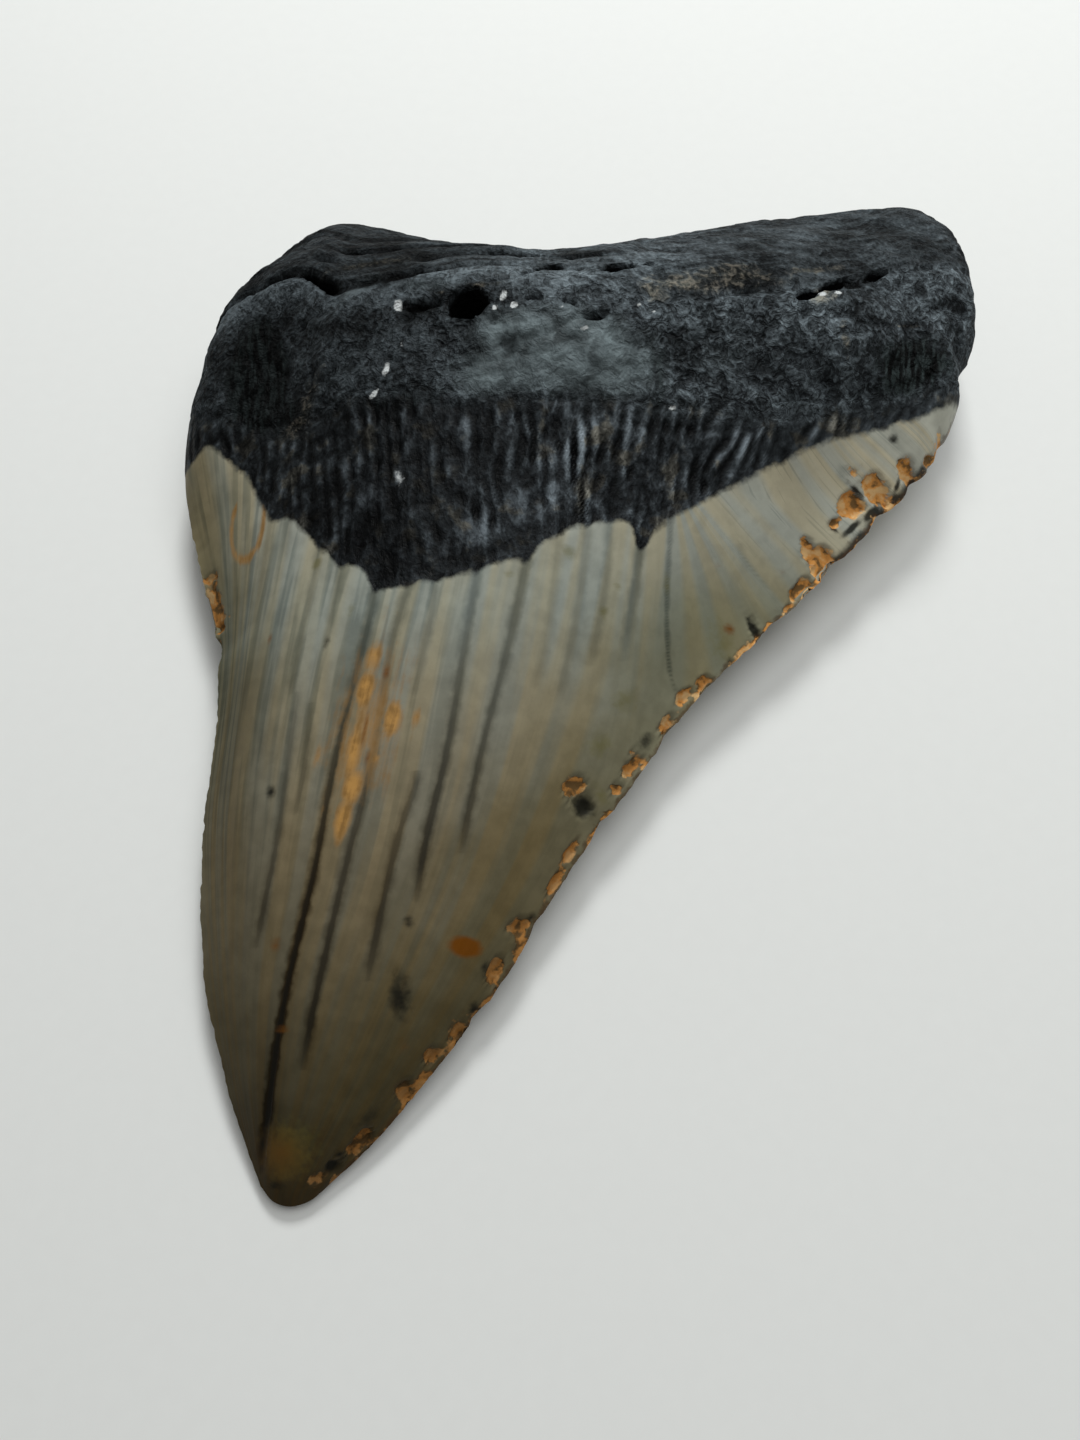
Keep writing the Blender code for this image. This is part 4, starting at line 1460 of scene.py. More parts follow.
    def ramp(self, value: object, stops: Stops) -> Socket:
        """Colour read off a row of stops, each a value with its colour."""
        low, high = stops[0][0], stops[-1][0]
        node = self.tree.nodes.new("ShaderNodeValToRGB")
        ramp = node.color_ramp
        while len(ramp.elements) < len(stops):
            ramp.elements.new(0.5)
        for element, (at, colour) in zip(ramp.elements, stops):
            element.position = (at - low) / (high - low)
            element.color = (*colour, 1)
        share = self.math("MULTIPLY_ADD", value, 1 / (high - low), -low / (high - low))
        self.put(node.inputs[0], share)
        return node.outputs[0]

    def over(self, share: object, below: Coat, above: Coat) -> Coat:
        """One coat laid over another where the share is 1."""
        return Coat(
            self.blend(share, below.colour, above.colour),
            self.level(share, below.roughness, above.roughness),
            self.level(share, below.height, above.height),
        )

    def mark(self, kind: Mark, ragged: Socket, rim: Rim = Rim()) -> Socket:
        """Mask of a kind of mark, from 0 to 1, with its rim broken up by noise.

        Args:
            kind: the kind of mark.
            ragged: the noise, from 0 to 1.
            rim: how soft and how ragged the rim is, and the field's value where it begins.

        Returns:
            The mask.
        """
        jag = self.math("MULTIPLY_ADD", ragged, rim.rough, -rim.rough / 2)
        shown = Change(rim.start, rim.start + rim.soft)
        return self.rise(self.add(self.attribute(kind.value), jag), shown)


@dataclass(frozen=True)
class EdgeTint:
    """A tint along one cutting edge, of a given reach, that fades along the tooth."""

    gap: str  # field with the distance from the edge
    wander: float
    reach: Change
    fade: Change
    tint: Colour


@dataclass(frozen=True)
class EnamelFinish:
    """Satin enamel: cream grey by the band, olive brown at the tip, in soft lengthwise lanes."""

    down: Stops = (
        (-54.0, (0.066, 0.045, 0.024)),
        (-46.0, (0.080, 0.064, 0.037)),
        (-38.0, (0.112, 0.090, 0.053)),
        (-24.0, (0.188, 0.156, 0.102)),
        (-10.0, (0.262, 0.240, 0.180)),
        (-1.0, (0.325, 0.325, 0.272)),
        (16.0, (0.480, 0.450, 0.360)),
    )
    wobble: float = 8.0  # millimetres by which those tones wander along the tooth
    broad: Grit = Grit(0.16)
    mottle: Grit = Grit(0.6, 4.0)
    mottle_tone: Change = Change(0.3, 0.7, 0.92, 1.08)
    warm: Colour = (1.05, 1.0, 0.88)
    cool: Colour = (0.93, 0.99, 1.04)
    cast: Change = Change(0.4, 0.6)
    # Lanes follow the growth lines. Their noise sees only this share of a step along the tooth.
    lane_length: float = 0.05
    wide_lanes: Grit = Grit(0.5, 1.0)
    fine_lanes: Grit = Grit(1.2)
    hair_lanes: Grit = Grit(4.5)
    lane_blue: Colour = (0.55, 0.60, 0.62)
    lane_dark: Change = Change(0.44, 0.62)
    lane_share: Pair = (0.12, 0.75)  # off the left side, and on it
    left_side: tuple[Change, Change] = (Change(-6.0, -24.0), Change(-36.0, -8.0))
    hair_dark: Change = Change(0.56, 0.68)
    hair_share: float = 0.55
    wing: tuple[Change, Change] = (Change(6.0, 18.0), Change(2.0, 12.0))
    edges: tuple[EdgeTint, ...] = (
        # Along the left edge the darker olive tint is partly the rim's own colour and partly
        # painted shade, where that flank slopes away from the light.
        EdgeTint(
            "left_gap", 4.0, Change(14.0, 3.0), Change(-34.0, -6.0, 0.42, 1.0), (0.42, 0.39, 0.31)
        ),
        EdgeTint("right_gap", 8.0, Change(17.0, 6.0), Change(10.0, 0.0), (0.76, 0.73, 0.60)),
    )
    # Cloudy shade on the wing: where it starts and ends across, its clouds, and where it starts up.
    wing_shade: Colour = (0.74, 0.74, 0.74)
    shade_from: Change = Change(2.0, 10.0)
    shade_to: Change = Change(32.0, 18.0, 0.15, 1.0)
    shade_clouds: Change = Change(0.85, 1.1, 0.35, 1.0)
    shade_up: Change = Change(-12.0, 4.0)
    # Cracks: a core, a soft edge and a faint halo, each by the distance from the crack's line.
    jag: Grit = Grit(0.7, 3.0)
    jag_width: Change = Change(0.3, 0.7, 0.75, 1.3)
    wing_width: Change = Change(4.8, 6.4, 1.0, 1.7)  # cracks are narrower by this on the wing
    tipward: Change = Change(2.0, -30.0)
    upper_crack: Colour = (0.34, 0.38, 0.40)
    lower_crack: Colour = (0.20, 0.17, 0.13)
    crack_core: Colour = (0.008, 0.007, 0.005)
    soft_edge: Change = Change(0.8, 0.1)
    halo: Change = Change(2.6, 0.6)
    halo_share: float = 0.14
    core: Change = Change(0.36, 0.1)
    core_share: Pair = (0.15, 0.8)  # by the band and at the tip
    core_most: float = 0.92
    roughness: Change = Change(0.3, 0.7, 0.36, 0.5)
    crack_roughness: float = 0.65
    lane_height: float = 0.03
    mottle_height: float = 0.03
    core_height: float = -0.06

    def coat(self, paint: Paint) -> Coat:
        """The enamel with its lanes, its tinted rims and its cracks."""
        lanes = paint.vector(paint.attribute("growth"), paint.times(paint.y, self.lane_length))
        broad = paint.noise(self.broad)
        mottle = paint.noise(self.mottle)
        fine = paint.noise(self.fine_lanes, lanes)
        wobble = paint.math("MULTIPLY_ADD", broad, self.wobble, -self.wobble / 2)
        colour = paint.ramp(paint.add(paint.y, wobble), self.down)
        cast = paint.rise(paint.noise(self.wide_lanes, lanes), self.cast)
        colour = paint.tinted(colour, paint.blend(cast, self.warm, self.cool))
        hairs = paint.rise(paint.noise(self.hair_lanes, lanes), self.hair_dark)
        hairs = paint.times(hairs, paint.zone(*self.wing), self.hair_share)
        streak = paint.level(paint.zone(*self.left_side), *self.lane_share)
        streak = paint.times(paint.rise(fine, self.lane_dark), streak)
        colour = paint.toned(colour, paint.math("MAXIMUM", streak, hairs), self.lane_blue)
        colour = paint.tinted(colour, paint.rise(mottle, self.mottle_tone))
        for edge in self.edges:
            gap = paint.add(paint.attribute(edge.gap), paint.times(broad, edge.wander))
            near = paint.times(paint.rise(gap, edge.reach), paint.rise(paint.y, edge.fade))
            colour = paint.toned(colour, near, edge.tint)
        blotch = paint.times(
            paint.rise(paint.x, self.shade_from), paint.rise(paint.x, self.shade_to),
            paint.rise(paint.add(mottle, broad), self.shade_clouds),
            paint.rise(paint.y, self.shade_up),
        )
        colour = paint.toned(colour, blotch, self.wing_shade)
        colour, core = self.cracked(paint, colour)
        height = paint.weighted(
            (fine, self.lane_height), (mottle, self.mottle_height), (core, self.core_height)
        )
        roughness = paint.level(core, paint.rise(mottle, self.roughness), self.crack_roughness)
        return Coat(colour, roughness, height)

    def cracked(self, paint: Paint, colour: Socket) -> tuple[Socket, Socket]:
        """The colour with the cracks on it, and the mask of their cores.

        Args:
            paint: the material's nodes.
            colour: the enamel's colour so far.

        Returns:
            (colour, mask from 0 to 1).
        """
        jag = paint.rise(paint.noise(self.jag), self.jag_width)
        away = paint.math("DIVIDE", paint.attribute("crack"), jag)
        away = paint.times(away, paint.rise(paint.x, self.wing_width))
        dark = paint.attribute("crack_dark")
        low = paint.rise(paint.y, self.tipward)
        soft = paint.add(
            paint.times(paint.rise(away, self.soft_edge), dark),
            paint.times(paint.rise(away, self.halo), dark, self.halo_share),
        )
        shade = paint.blend(low, self.upper_crack, self.lower_crack)
        colour = paint.toned(colour, paint.math("MINIMUM", soft, 1.0), shade)
        share = paint.level(low, *self.core_share)
        core = paint.times(paint.rise(away, self.core), dark, share)
        core = paint.math("MINIMUM", core, self.core_most)
        return paint.blend(core, colour, self.crack_core), core


def greys(tint: Colour, *stops: Pair) -> Stops:
    """Stops of a ramp whose colours are one tint at several strengths."""
    return tuple((at, tuple(strength * part for part in tint)) for at, strength in stops)


@dataclass(frozen=True)
class BandFinish:
    """The ridged band: near black between the ridges, with grey and brown crests; as the tone
    follows the ridges' height, the dark troughs and pale crests are partly painted shade and
    painted highlight.
    """

    tones: Stops = greys(
        (0.9, 1.0, 1.05), (0.17, 0.001), (0.36, 0.003), (0.5, 0.011), (0.62, 0.027), (0.78, 0.075),
        (1.1, 0.2),
    )
    # Noise that runs along the ridges, with the share of a step along the tooth that it sees.
    fine: Grit = Grit(1.15, 5.0, 0.42)
    fine_length: float = 0.64
    thin: Grit = Grit(3.0, 3.0, 0.3)
    thin_length: float = 0.7
    patch: Grit = Grit(0.35, 3.0)
    zones: Rim = Rim(1.2, 1.2)
    ridge_share: float = 0.34
    fine_share: float = 0.76
    thin_share: float = 0.4
    offset: float = -0.08
    glint_lift: float = 0.18
    pitch_drop: float = -0.12
    patch_lift: Change = Change(0.3, 0.7, -0.07, 0.07)
    calm: Change = Change(8.0, 20.0, 0.0, 0.4)  # towards the right all strokes near one tone
    calm_tone: float = 0.57
    brown: Colour = (1.15, 1.0, 0.82)
    cool: Colour = (0.95, 1.0, 1.06)
    cast: Change = Change(0.54, 0.64)
    lighter: Change = Change(-18.0, 6.0, 0.85, 1.8)
    roughness: Change = Change(0.3, 0.7, 0.47, 0.69)
    relief: Pair = (0.3, -0.15)

    def coat(self, paint: Paint) -> Coat:
        """Strokes across the band that follow the ridges, paler where the band glints."""
        stroke = paint.attribute("stroke")
        fine, thin = (
            paint.noise(grit, paint.vector(stroke, paint.times(paint.y, length)))
            for grit, length in ((self.fine, self.fine_length), (self.thin, self.thin_length))
        )
        patch = paint.noise(self.patch)
        # The tone follows the ridges' height: paler crests and darker troughs are partly painted
        # highlight and painted shade.
        ridge = paint.add(
            paint.times(paint.attribute("ridge"), self.ridge_share),
            paint.times(fine, self.fine_share),
            paint.times(thin, self.thin_share),
            self.offset,
            paint.times(paint.mark(Mark.GLINT, patch, self.zones), self.glint_lift),
            paint.times(paint.mark(Mark.PITCH, patch, self.zones), self.pitch_drop),
            paint.rise(patch, self.patch_lift),
        )
        ridge = paint.level(paint.rise(paint.x, self.calm), ridge, self.calm_tone)
        cast = paint.blend(paint.rise(patch, self.cast), self.cool, self.brown)
        colour = paint.tinted(paint.ramp(ridge, self.tones), cast)
        colour = paint.tinted(colour, paint.rise(paint.x, self.lighter))
        height = paint.math("MULTIPLY_ADD", ridge, *self.relief)
        return Coat(colour, paint.rise(fine, self.roughness), height)


@dataclass(frozen=True)
class RootFinish:
    """The root: knotty black mineral with a blue cast, smoother and greyer at its middle, where the
    grey is partly its own and partly a painted sheen.
    """

    tones: Stops = greys(
        (0.84, 1.0, 1.1), (0.36, 0.003), (0.43, 0.008), (0.48, 0.017), (0.53, 0.030),
        (0.59, 0.052), (0.68, 0.10),
    )
    slate_sheen: Stops = greys(
        (0.82, 1.0, 1.05), (0.36, 0.024), (0.44, 0.040), (0.5, 0.056), (0.56, 0.074), (0.64, 0.10),
    )
    pitch: Stops = greys((0.75, 1.0, 1.0), (0.4, 0.0005), (0.5, 0.003), (0.6, 0.014))
    broad: Grit = Grit(0.16)
    knots: Grit = Grit(0.42, 5.0, 0.5)
    worm: Grit = Grit(0.85, 3.0, 0.8)
    speck: Grit = Grit(2.4, 3.0, 0.4)
    # Fibres that fan out from a point: turns of the fan, and how fast they change outwards.
    fibres: Grit = Grit(1.8, 3.0, 0.5)
    fan_centre: Pair = (-8.0, 48.0)
    fan_turn: float = 24.0
    fan_far: float = 0.0035
    fan_deep: float = 0.4
    combed: Change = Change(6.0, -18.0, 0.12, 0.36)  # share of the fibres, more to the left
    knot_share: float = 0.3
    worm_share: float = 0.7
    pattern_share: float = 0.7
    speck_share: float = 0.3
    # Fine dark veins where the worm noise passes its middle, off the basal face.
    vein_at: float = 0.48
    vein: Change = Change(0.03, 0.0)
    vein_dark: float = -0.09
    # The basal face, past the crease: lines and streaks that run along it.
    basal: Change = Change(-0.2, 0.8)
    lined: Grit = Grit(1.0, 5.0, 0.3)
    lined_steps: Pair = (0.24, 1.1)
    lined_share: float = 0.5
    streaks: Grit = Grit(1.0, 3.0, 0.2)
    streak_steps: Pair = (0.1, 1.7)
    streak_middle: float = 0.48
    streak_tone: Change = Change(8.0, -12.0, 0.15, 0.45)
    # Painted sheen across the middle of the basal face: it keeps its tone near x = 1 and is
    # darkened to half further out.
    sheen_offset: float = -1.0
    basal_sheen: Change = Change(18.0, 6.0, 0.5, 0.95)
    # The strip just before the crease catches the light, most on the left.
    strip_from: Change = Change(-5.0, -1.5)
    strip_to: Change = Change(0.2, -0.8)
    strip_tone: Change = Change(5.0, -12.0, 0.03, 0.14)
    broad_tone: Change = Change(0.35, 0.65, -0.045, 0.045)
    slate_rim: Rim = Rim(0.9, 0.9)
    slate_shares: Pair = (0.8, 0.2)
    pitch_rim: Rim = Rim(0.8, 1.0)
    pitch_grit: Grit = Grit(1.0, 3.0)
    pitch_steps: Pair = (1.8, 0.35)
    tan: Colour = (0.088, 0.077, 0.062)
    earth: Colour = (1.4, 1.18, 0.92)
    tan_rim: Rim = Rim(0.9, 2.0)
    crust_shares: Pair = (0.4, 0.6)
    crust: Change = Change(0.47, 0.62, 0.0, 0.62)
    lighter: Change = Change(-28.0, 8.0, 1.0, 2.5)
    # Painted shade: near black in the root's hollows, its pits, its crease and the low spots of its
    # texture.
    deep: Colour = (0.0008, 0.0008, 0.0008)
    hollow: Change = Change(-0.15, -0.9)
    roughness: float = 0.7
    slate_roughness: float = 0.5
    deep_roughness: float = 0.9
    # Weights of the noises in the bump, and how much of it the slate keeps.
    worm_lumps: Change = Change(-25.0, 0.0, 0.6, 1.0)
    fibre_lumps: float = 0.8
    knot_lumps: float = 0.5
    speck_lumps: float = 0.25
    basal_lumps: float = 0.6
    pattern_lumps: float = 1.2
    lump_middle: float = -0.9
    slate_lumps: float = 0.35

    def fanned(self, paint: Paint) -> Socket:
        """Fibres that spread from the fan's centre, in polar steps: turn and squared distance."""
        aside = paint.add(paint.x, -self.fan_centre[0])
        below = paint.math("SUBTRACT", self.fan_centre[1], paint.y)
        turn = paint.times(paint.math("ARCTAN2", aside, below), self.fan_turn)
        far = paint.times(paint.weighted((aside, aside), (below, below)), self.fan_far)
        deep = paint.times(paint.z, self.fan_deep)
        return paint.noise(self.fibres, paint.vector(turn, far, deep))

    def stepped(self, paint: Paint, grit: Grit, along: Socket, steps: Pair, z: object) -> Socket:
        """Noise that is drawn out: x and another value are each taken at their own step."""
        across, up = (paint.times(value, step) for value, step in zip((paint.x, along), steps))
        return paint.noise(grit, paint.vector(across, up, z))

    def coat(self, paint: Paint) -> Coat:
        """Knotty dark mineral, lined on the basal face, with grey, pitch and tan zones; its paler
        crests are partly painted highlight.
        """
        knots, speck = paint.noise(self.knots), paint.noise(self.speck)
        worm, broad = paint.noise(self.worm), paint.noise(self.broad)
        fibres = self.fanned(paint)
        past = paint.attribute("past")
        basal = paint.rise(past, self.basal)
        combed = paint.rise(paint.x, self.combed)
        # The tone rises with the same noises as the bump below, so crests come out paler and low
        # spots darker: partly painted highlight and painted shade.
        pattern = paint.weighted(
            (knots, self.knot_share),
            (worm, paint.math("SUBTRACT", self.worm_share, combed)),
            (fibres, combed),
        )
        lined = self.stepped(paint, self.lined, past, self.lined_steps, paint.z)
        pattern = paint.level(paint.times(basal, self.lined_share), pattern, lined)
        vein = paint.math("ABSOLUTE", paint.math("SUBTRACT", worm, self.vein_at))
        pattern = paint.weighted(
            (pattern, self.pattern_share),
            (speck, self.speck_share),
            (paint.rise(vein, self.vein), paint.level(basal, self.vein_dark, 0.0)),
        )
        strip = paint.times(paint.rise(past, self.strip_from), paint.rise(past, self.strip_to))
        streaks = self.stepped(paint, self.streaks, past, self.streak_steps, 0.0)
        streaks = paint.math("SUBTRACT", streaks, self.streak_middle)
        tone = paint.add(
            pattern,
            paint.times(strip, paint.rise(paint.x, self.strip_tone)),
            paint.rise(broad, self.broad_tone),
            paint.times(streaks, basal, paint.rise(paint.x, self.streak_tone)),
        )
        # The paler grey zone: partly the mineral's own colour and partly a painted sheen.
        slate_sheen = paint.mark(Mark.SLATE_SHEEN, broad, self.slate_rim)
        clouds = paint.weighted(*zip((knots, speck), self.slate_shares))
        colour = paint.blend(slate_sheen, paint.ramp(tone, self.tones), paint.ramp(clouds, self.slate_sheen))
        upright = self.stepped(paint, self.pitch_grit, paint.y, self.pitch_steps, paint.z)
        pitch = paint.mark(Mark.PITCH, broad, self.pitch_rim)
        colour = paint.blend(pitch, colour, paint.ramp(upright, self.pitch))
        tan = paint.mark(Mark.TAN, worm, self.tan_rim)
        colour = paint.toned(colour, tan, self.earth)
        crust = paint.rise(paint.weighted(*zip((worm, speck), self.crust_shares)), self.crust)
        colour = paint.blend(paint.times(tan, crust), colour, self.tan)
        # Painted sheen: the basal face is darker away from its middle.
        middle = paint.math("ABSOLUTE", paint.add(paint.x, self.sheen_offset))
        middle = paint.rise(middle, self.basal_sheen)
        colour = paint.tinted(colour, paint.level(basal, 1.0, middle))
        colour = paint.tinted(colour, paint.rise(paint.x, self.lighter))
        # Painted shade in the hollows.
        hollow = paint.rise(paint.attribute("hollow"), self.hollow)
        colour = paint.blend(hollow, colour, self.deep)
        lumps = paint.add(
            paint.times(worm, paint.rise(paint.x, self.worm_lumps)),
            paint.times(fibres, combed, self.fibre_lumps),
            paint.times(knots, self.knot_lumps),
            paint.times(speck, self.speck_lumps),
        )
        drawn = paint.times(pattern, self.pattern_lumps)
        lumps = paint.level(paint.times(basal, self.basal_lumps), lumps, drawn)
        kept = paint.level(slate_sheen, 1.0, self.slate_lumps)
        relief = paint.times(paint.add(lumps, self.lump_middle), kept)
        rough = paint.level(slate_sheen, self.roughness, self.slate_roughness)
        return Coat(colour, paint.level(hollow, rough, self.deep_roughness), relief)


@dataclass(frozen=True)
class DentineFinish:
    """Orange to peach dentine where the enamel has chipped off, browner towards the tip; its peach
    high spots are partly a painted highlight.
    """

    peach: Colour = (0.66, 0.42, 0.19)
    orange: Colour = (0.60, 0.27, 0.07)
    brown: Colour = (0.17, 0.095, 0.035)
    spots: Grit = Grit(0.75, 3.0)
    orange_from: Change = Change(0.36, 0.48)
    highlight_from: Change = Change(0.48, 0.62)
    highlight_down: Change = Change(-35.0, -8.0, 0.3, 1.0)
    tip_shade: Change = Change(-45.0, 5.0, 0.42, 1.0)
    left_shade: Change = Change(-34.0, -30.0, 0.55, 1.0)
    roughness: Change = Change(0.0, 1.0, 0.62, 0.7)
    relief: Pair = (0.25, -0.15)

    def coat(self, paint: Paint) -> Coat:
        """Mottled dentine, paler on its high spots, which is partly a painted highlight."""
        spots = paint.noise(self.spots)
        colour = paint.blend(paint.rise(spots, self.orange_from), self.brown, self.orange)
        # Paler peach on the high spots, partly a painted highlight.
        pale_highlight = paint.times(paint.rise(spots, self.highlight_from), paint.rise(paint.y, self.highlight_down))
        colour = paint.blend(pale_highlight, colour, self.peach)
        colour = paint.tinted(colour, paint.rise(paint.y, self.tip_shade))
        colour = paint.tinted(colour, paint.rise(paint.x, self.left_shade))
        height = paint.math("MULTIPLY_ADD", spots, *self.relief)
        return Coat(colour, paint.rise(spots, self.roughness), height)


@dataclass(frozen=True)
class StainFinish:
    """Colours that have soaked into the enamel, dirt that sits on it, and painted shadow by the
    wing's edge and in the gashes.
    """

    amber: Colour = (0.42, 0.22, 0.060)
    amber_wash: Colour = (0.25, 0.155, 0.070)
    rust: Colour = (0.150, 0.048, 0.003)
    umber: Colour = (0.105, 0.052, 0.012)
    # Black of the soot spots and of the painted shadow by the chips and in the gashes.
    soot_and_shadow: Colour = (0.008, 0.008, 0.006)
    olive: Colour = (0.13, 0.115, 0.030)
    burnt: Colour = (0.055, 0.026, 0.012)
    spots: Grit = Grit(1.3, 3.0)
    # Amber streaks, drawn out along the growth lines, over a wider wash.
    streak: Grit = Grit(1.0, 3.0)
    streak_steps: Pair = (1.6, 0.2)
    torn: Grit = Grit(1.1, 4.0)
    torn_shares: Pair = (0.6, 0.4)
    wash_rim: Rim = Rim(0.8, 1.2)
    wash_share: float = 0.8
    amber_rim: Rim = Rim(1.2, 2.6)
    amber_shade: Change = Change(0.4, 0.62, 1.2, 0.6)
    amber_share: float = 0.85
    olive_rim: Rim = Rim(0.9, 0.9)
    olive_share: float = 0.55
    rust_rim: Rim = Rim(1.1, 0.5)
    rust_share: float = 0.97
    umber_down: Change = Change(-36.0, -46.0)
    soot_rim: Rim = Rim(0.9, 0.8)
    soot_share: float = 0.93
    soot_roughness: float = 0.6
    # Brown line round the chips, but not on the left, and along the right cutting edge.
    burnt_rim: Rim = Rim(0.5, 1.2, -0.35)
    burnt_from: Change = Change(-34.0, -30.0)
    burnt_share: float = 0.32
    edge_wander: float = 1.4
    edge_line: Change = Change(1.2, 0.7)
    line_share: float = 0.66

    def over(self, paint: Paint, coat: Coat) -> Coat:
        """The stains over the enamel's coat, from the widest wash to the thin brown line.

        Args:
            paint: the material's nodes.
            coat: the enamel.

        Returns:
            The stained enamel.
        """
        across, up = self.streak_steps
        growth = paint.times(paint.attribute("growth"), across)
        streak = paint.noise(self.streak, paint.vector(growth, paint.times(paint.y, up)))
        spots = paint.noise(self.spots)
        torn = paint.weighted(*zip((streak, paint.noise(self.torn)), self.torn_shares))
        amber = paint.tinted(self.amber, paint.rise(torn, self.amber_shade))
        rust = paint.blend(paint.rise(paint.y, self.umber_down), self.rust, self.umber)
        soot_and_shadow = paint.mark(Mark.SOOT_AND_SHADOW, spots, self.soot_rim)
        colour = coat.colour
        for mask, share, stain in (
            (paint.mark(Mark.AMBER, streak, self.wash_rim), self.wash_share, self.amber_wash),
            (paint.mark(Mark.AMBER, torn, self.amber_rim), self.amber_share, amber),
            (paint.mark(Mark.OLIVE, spots, self.olive_rim), self.olive_share, self.olive),
            (paint.mark(Mark.RUST, spots, self.rust_rim), self.rust_share, rust),
            (soot_and_shadow, self.soot_share, self.soot_and_shadow),
            (self.brown_line(paint, spots), self.line_share, self.burnt),
        ):
            colour = paint.blend(paint.times(mask, share), colour, stain)
        return Coat(colour, paint.level(soot_and_shadow, coat.roughness, self.soot_roughness), coat.height)

    def brown_line(self, paint: Paint, spots: Socket) -> Socket:
        """Mask of the brown line round the chips and along the right cutting edge."""
        burnt = paint.mark(Mark.DENTINE, spots, self.burnt_rim)
        burnt = paint.times(burnt, paint.rise(paint.x, self.burnt_from))
        gap = paint.add(paint.attribute("right_gap"), paint.times(spots, self.edge_wander))
        burnt = paint.times(burnt, self.burnt_share)
        return paint.math("MAXIMUM", paint.rise(gap, self.edge_line), burnt)


@dataclass(frozen=True)
class ToothMaterial:
    """The one material of the tooth, which lays its finishes over each other by zone."""

    name: str = "fossil_mineral"
    enamel: EnamelFinish = EnamelFinish()
    band: BandFinish = BandFinish()
    root: RootFinish = RootFinish()
    dentine: DentineFinish = DentineFinish()
    stain: StainFinish = StainFinish()
    spots: Grit = Grit(1.6, 3.0)
    chunks: Grit = Grit(1.5, 3.0)
    chip_rim: Rim = Rim(0.3, 1.2)
    # Where enamel gives way to the band, and the band to the root, each broken up by spots.
    edge_wander: float = 0.5
    edge: Change = Change(-0.1, 0.6)
    top_wander: float = 2.4
    top: Change = Change(-0.2, 2.2)
    chalk: Colour = (0.60, 0.62, 0.62)
    chalk_rim: Rim = Rim(0.45, 1.2)
    chalk_share: float = 0.9
    specular: float = 0.07
    bump_strength: float = 1.0

    def make(self) -> bpy.types.Material:
        """The material: crown, chips, band, root and chalk specks, with one bump."""
        made = bpy.data.materials.new(self.name)
        made.use_nodes = True
        tree = made.node_tree
        paint = Paint(tree)
        shader = tree.nodes["Principled BSDF"]
        shader.inputs["Specular IOR Level"].default_value = self.specular
        spots = paint.noise(self.spots)
        chip = paint.mark(Mark.DENTINE, paint.noise(self.chunks), self.chip_rim)
        crown = self.stain.over(paint, self.enamel.coat(paint))
        crown = paint.over(chip, crown, self.dentine.coat(paint))
        edge = paint.add(paint.attribute("from_edge"), paint.times(spots, self.edge_wander))
        top = paint.add(paint.attribute("below_top"), paint.times(spots, self.top_wander))
        root, band = self.root.coat(paint), self.band.coat(paint)
        dark = paint.over(paint.rise(top, self.top), root, band)
        coat = paint.over(paint.rise(edge, self.edge), crown, dark)
        chalk = paint.times(paint.mark(Mark.CHALK, spots, self.chalk_rim), self.chalk_share)
        paint.put(shader.inputs["Base Color"], paint.blend(chalk, coat.colour, self.chalk))
        paint.put(shader.inputs["Roughness"], coat.roughness)
        bump = tree.nodes.new("ShaderNodeBump")
        bump.inputs["Strength"].default_value = self.bump_strength
        bump.inputs["Distance"].default_value = MM
        paint.put(bump.inputs["Height"], coat.height)
        paint.put(shader.inputs["Normal"], bump.outputs["Normal"])
        return made


# ---------------------------------------------------------------- table, light and camera


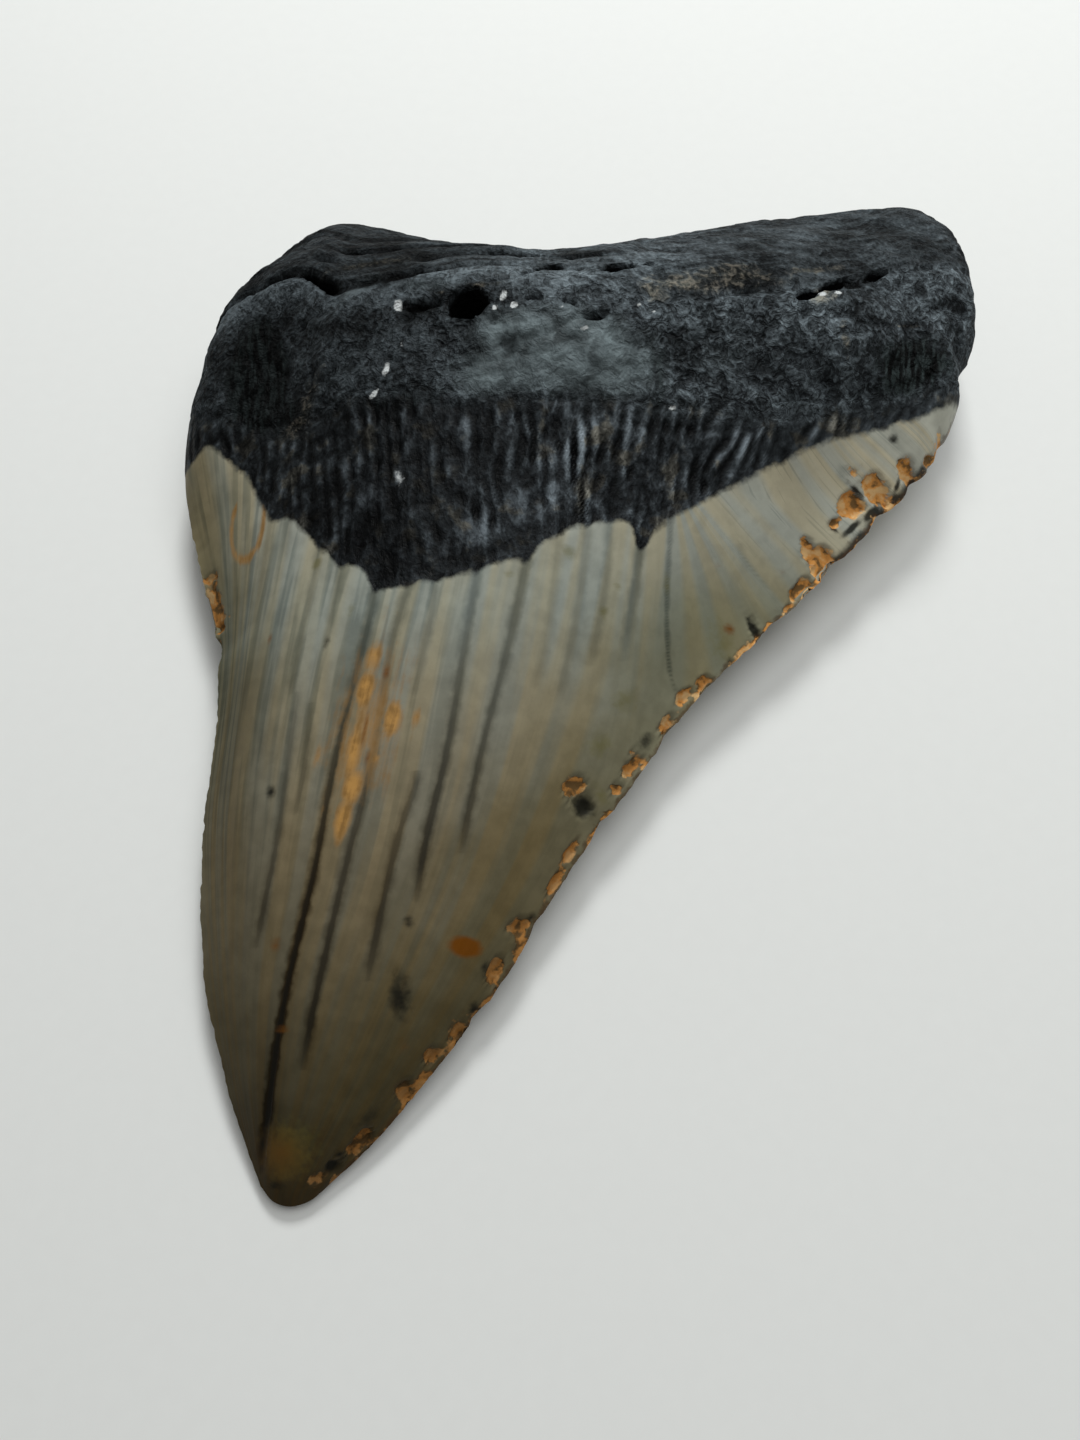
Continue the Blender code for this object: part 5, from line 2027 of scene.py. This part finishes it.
@dataclass
class Studio:
    """A pale paper table, soft light from beyond the root, and the camera above the tooth."""

    table_half: float = 900.0
    paper: Colour = (0.80, 0.80, 0.78)
    paper_fibre: Grit = Grit(0.6, 4.0)
    paper_shade: float = 0.97  # tone of its darker fibres beside the paler ones
    paper_roughness: float = 0.9
    look_at: Triple = (-5.2, -7.6, 0.0)
    distance: float = 112.0
    tilt_degrees: float = 22.0
    lens: float = 27.0
    window_place: Triple = (20.0, 440.0, 370.0)
    window_size: float = 140.0
    window_power: float = 2.1
    window_tint: Colour = (0.97, 1.0, 1.0)
    sky: Colour = (1.0, 0.985, 0.95)
    sky_strength: float = 0.13
    ceiling_place: Triple = (110.0, 110.0, 475.0)
    ceiling_size: float = 400.0
    ceiling_power: float = 1.3

    def table(self) -> bpy.types.Object:
        """The table top, a square at z = 0 with a paper finish."""
        half = self.table_half * MM
        mesh = bpy.data.meshes.new("table")
        corners = [(-half, -half, 0), (half, -half, 0), (half, half, 0), (-half, half, 0)]
        mesh.from_pydata(corners, [], [(0, 1, 2, 3)])
        made = bpy.data.materials.new("paper")
        made.use_nodes = True
        paint = Paint(made.node_tree)
        shader = made.node_tree.nodes["Principled BSDF"]
        shade = tuple(self.paper_shade * part for part in self.paper)
        fibre = paint.blend(paint.noise(self.paper_fibre), self.paper, shade)
        paint.put(shader.inputs["Base Color"], fibre)
        shader.inputs["Roughness"].default_value = self.paper_roughness
        mesh.materials.append(made)
        return placed(bpy.data.objects.new("table", mesh))

    def lamp(self, name: str, place: tuple[float, ...], size: float, power: float) -> None:
        """A square area light that faces the origin.

        Args:
            name: its name.
            place: where it stands, in millimetres.
            size: its side, in millimetres.
            power: its power in watts.
        """
        data = bpy.data.lights.new(name, "AREA")
        data.shape = "SQUARE"
        data.size = size * MM
        data.energy = power
        data.color = self.window_tint
        made = placed(bpy.data.objects.new(name, data))
        made.location = [part * MM for part in place]
        made.rotation_euler = made.location.to_track_quat("Z", "Y").to_euler()

    def light(self) -> None:
        """A window beyond the root, a wide soft light overhead, and a weak even sky."""
        self.lamp("window", self.window_place, self.window_size, self.window_power)
        self.lamp("ceiling", self.ceiling_place, self.ceiling_size, self.ceiling_power)
        world = bpy.data.worlds.new("sky")
        world.use_nodes = True
        ground = world.node_tree.nodes["Background"]
        ground.inputs["Color"].default_value = (*self.sky, 1)
        ground.inputs["Strength"].default_value = self.sky_strength
        bpy.context.scene.world = world
        bpy.context.scene.view_settings.view_transform = "Standard"

    def camera(self) -> bpy.types.Object:
        """The camera, tilted towards the root."""
        data = bpy.data.cameras.new("camera")
        data.lens = self.lens
        data.clip_start = MM
        eye = placed(bpy.data.objects.new("camera", data))
        tilt = math.radians(self.tilt_degrees)
        back = np.array([0, -math.sin(tilt), math.cos(tilt)])
        eye.location = (np.array(self.look_at) + self.distance * back) * MM
        eye.rotation_euler = (tilt, 0, 0)
        bpy.context.scene.camera = eye
        return eye


def main() -> None:
    """Builds the studio and the tooth, dresses it, and reports each piece."""
    logging.basicConfig(level=logging.INFO, format="%(message)s")
    studio = Studio()
    studio.camera()
    studio.light()
    studio.table()
    LOG.info("table, light and camera are in place")
    tooth = Tooth()
    piece = tooth.build()
    piece.data.materials.append(ToothMaterial().make())
    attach(piece, "root")
    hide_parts(tooth.node)
    LOG.info("%s has %d faces", piece.name, len(piece.data.polygons))


if __name__ == "__main__":
    main()
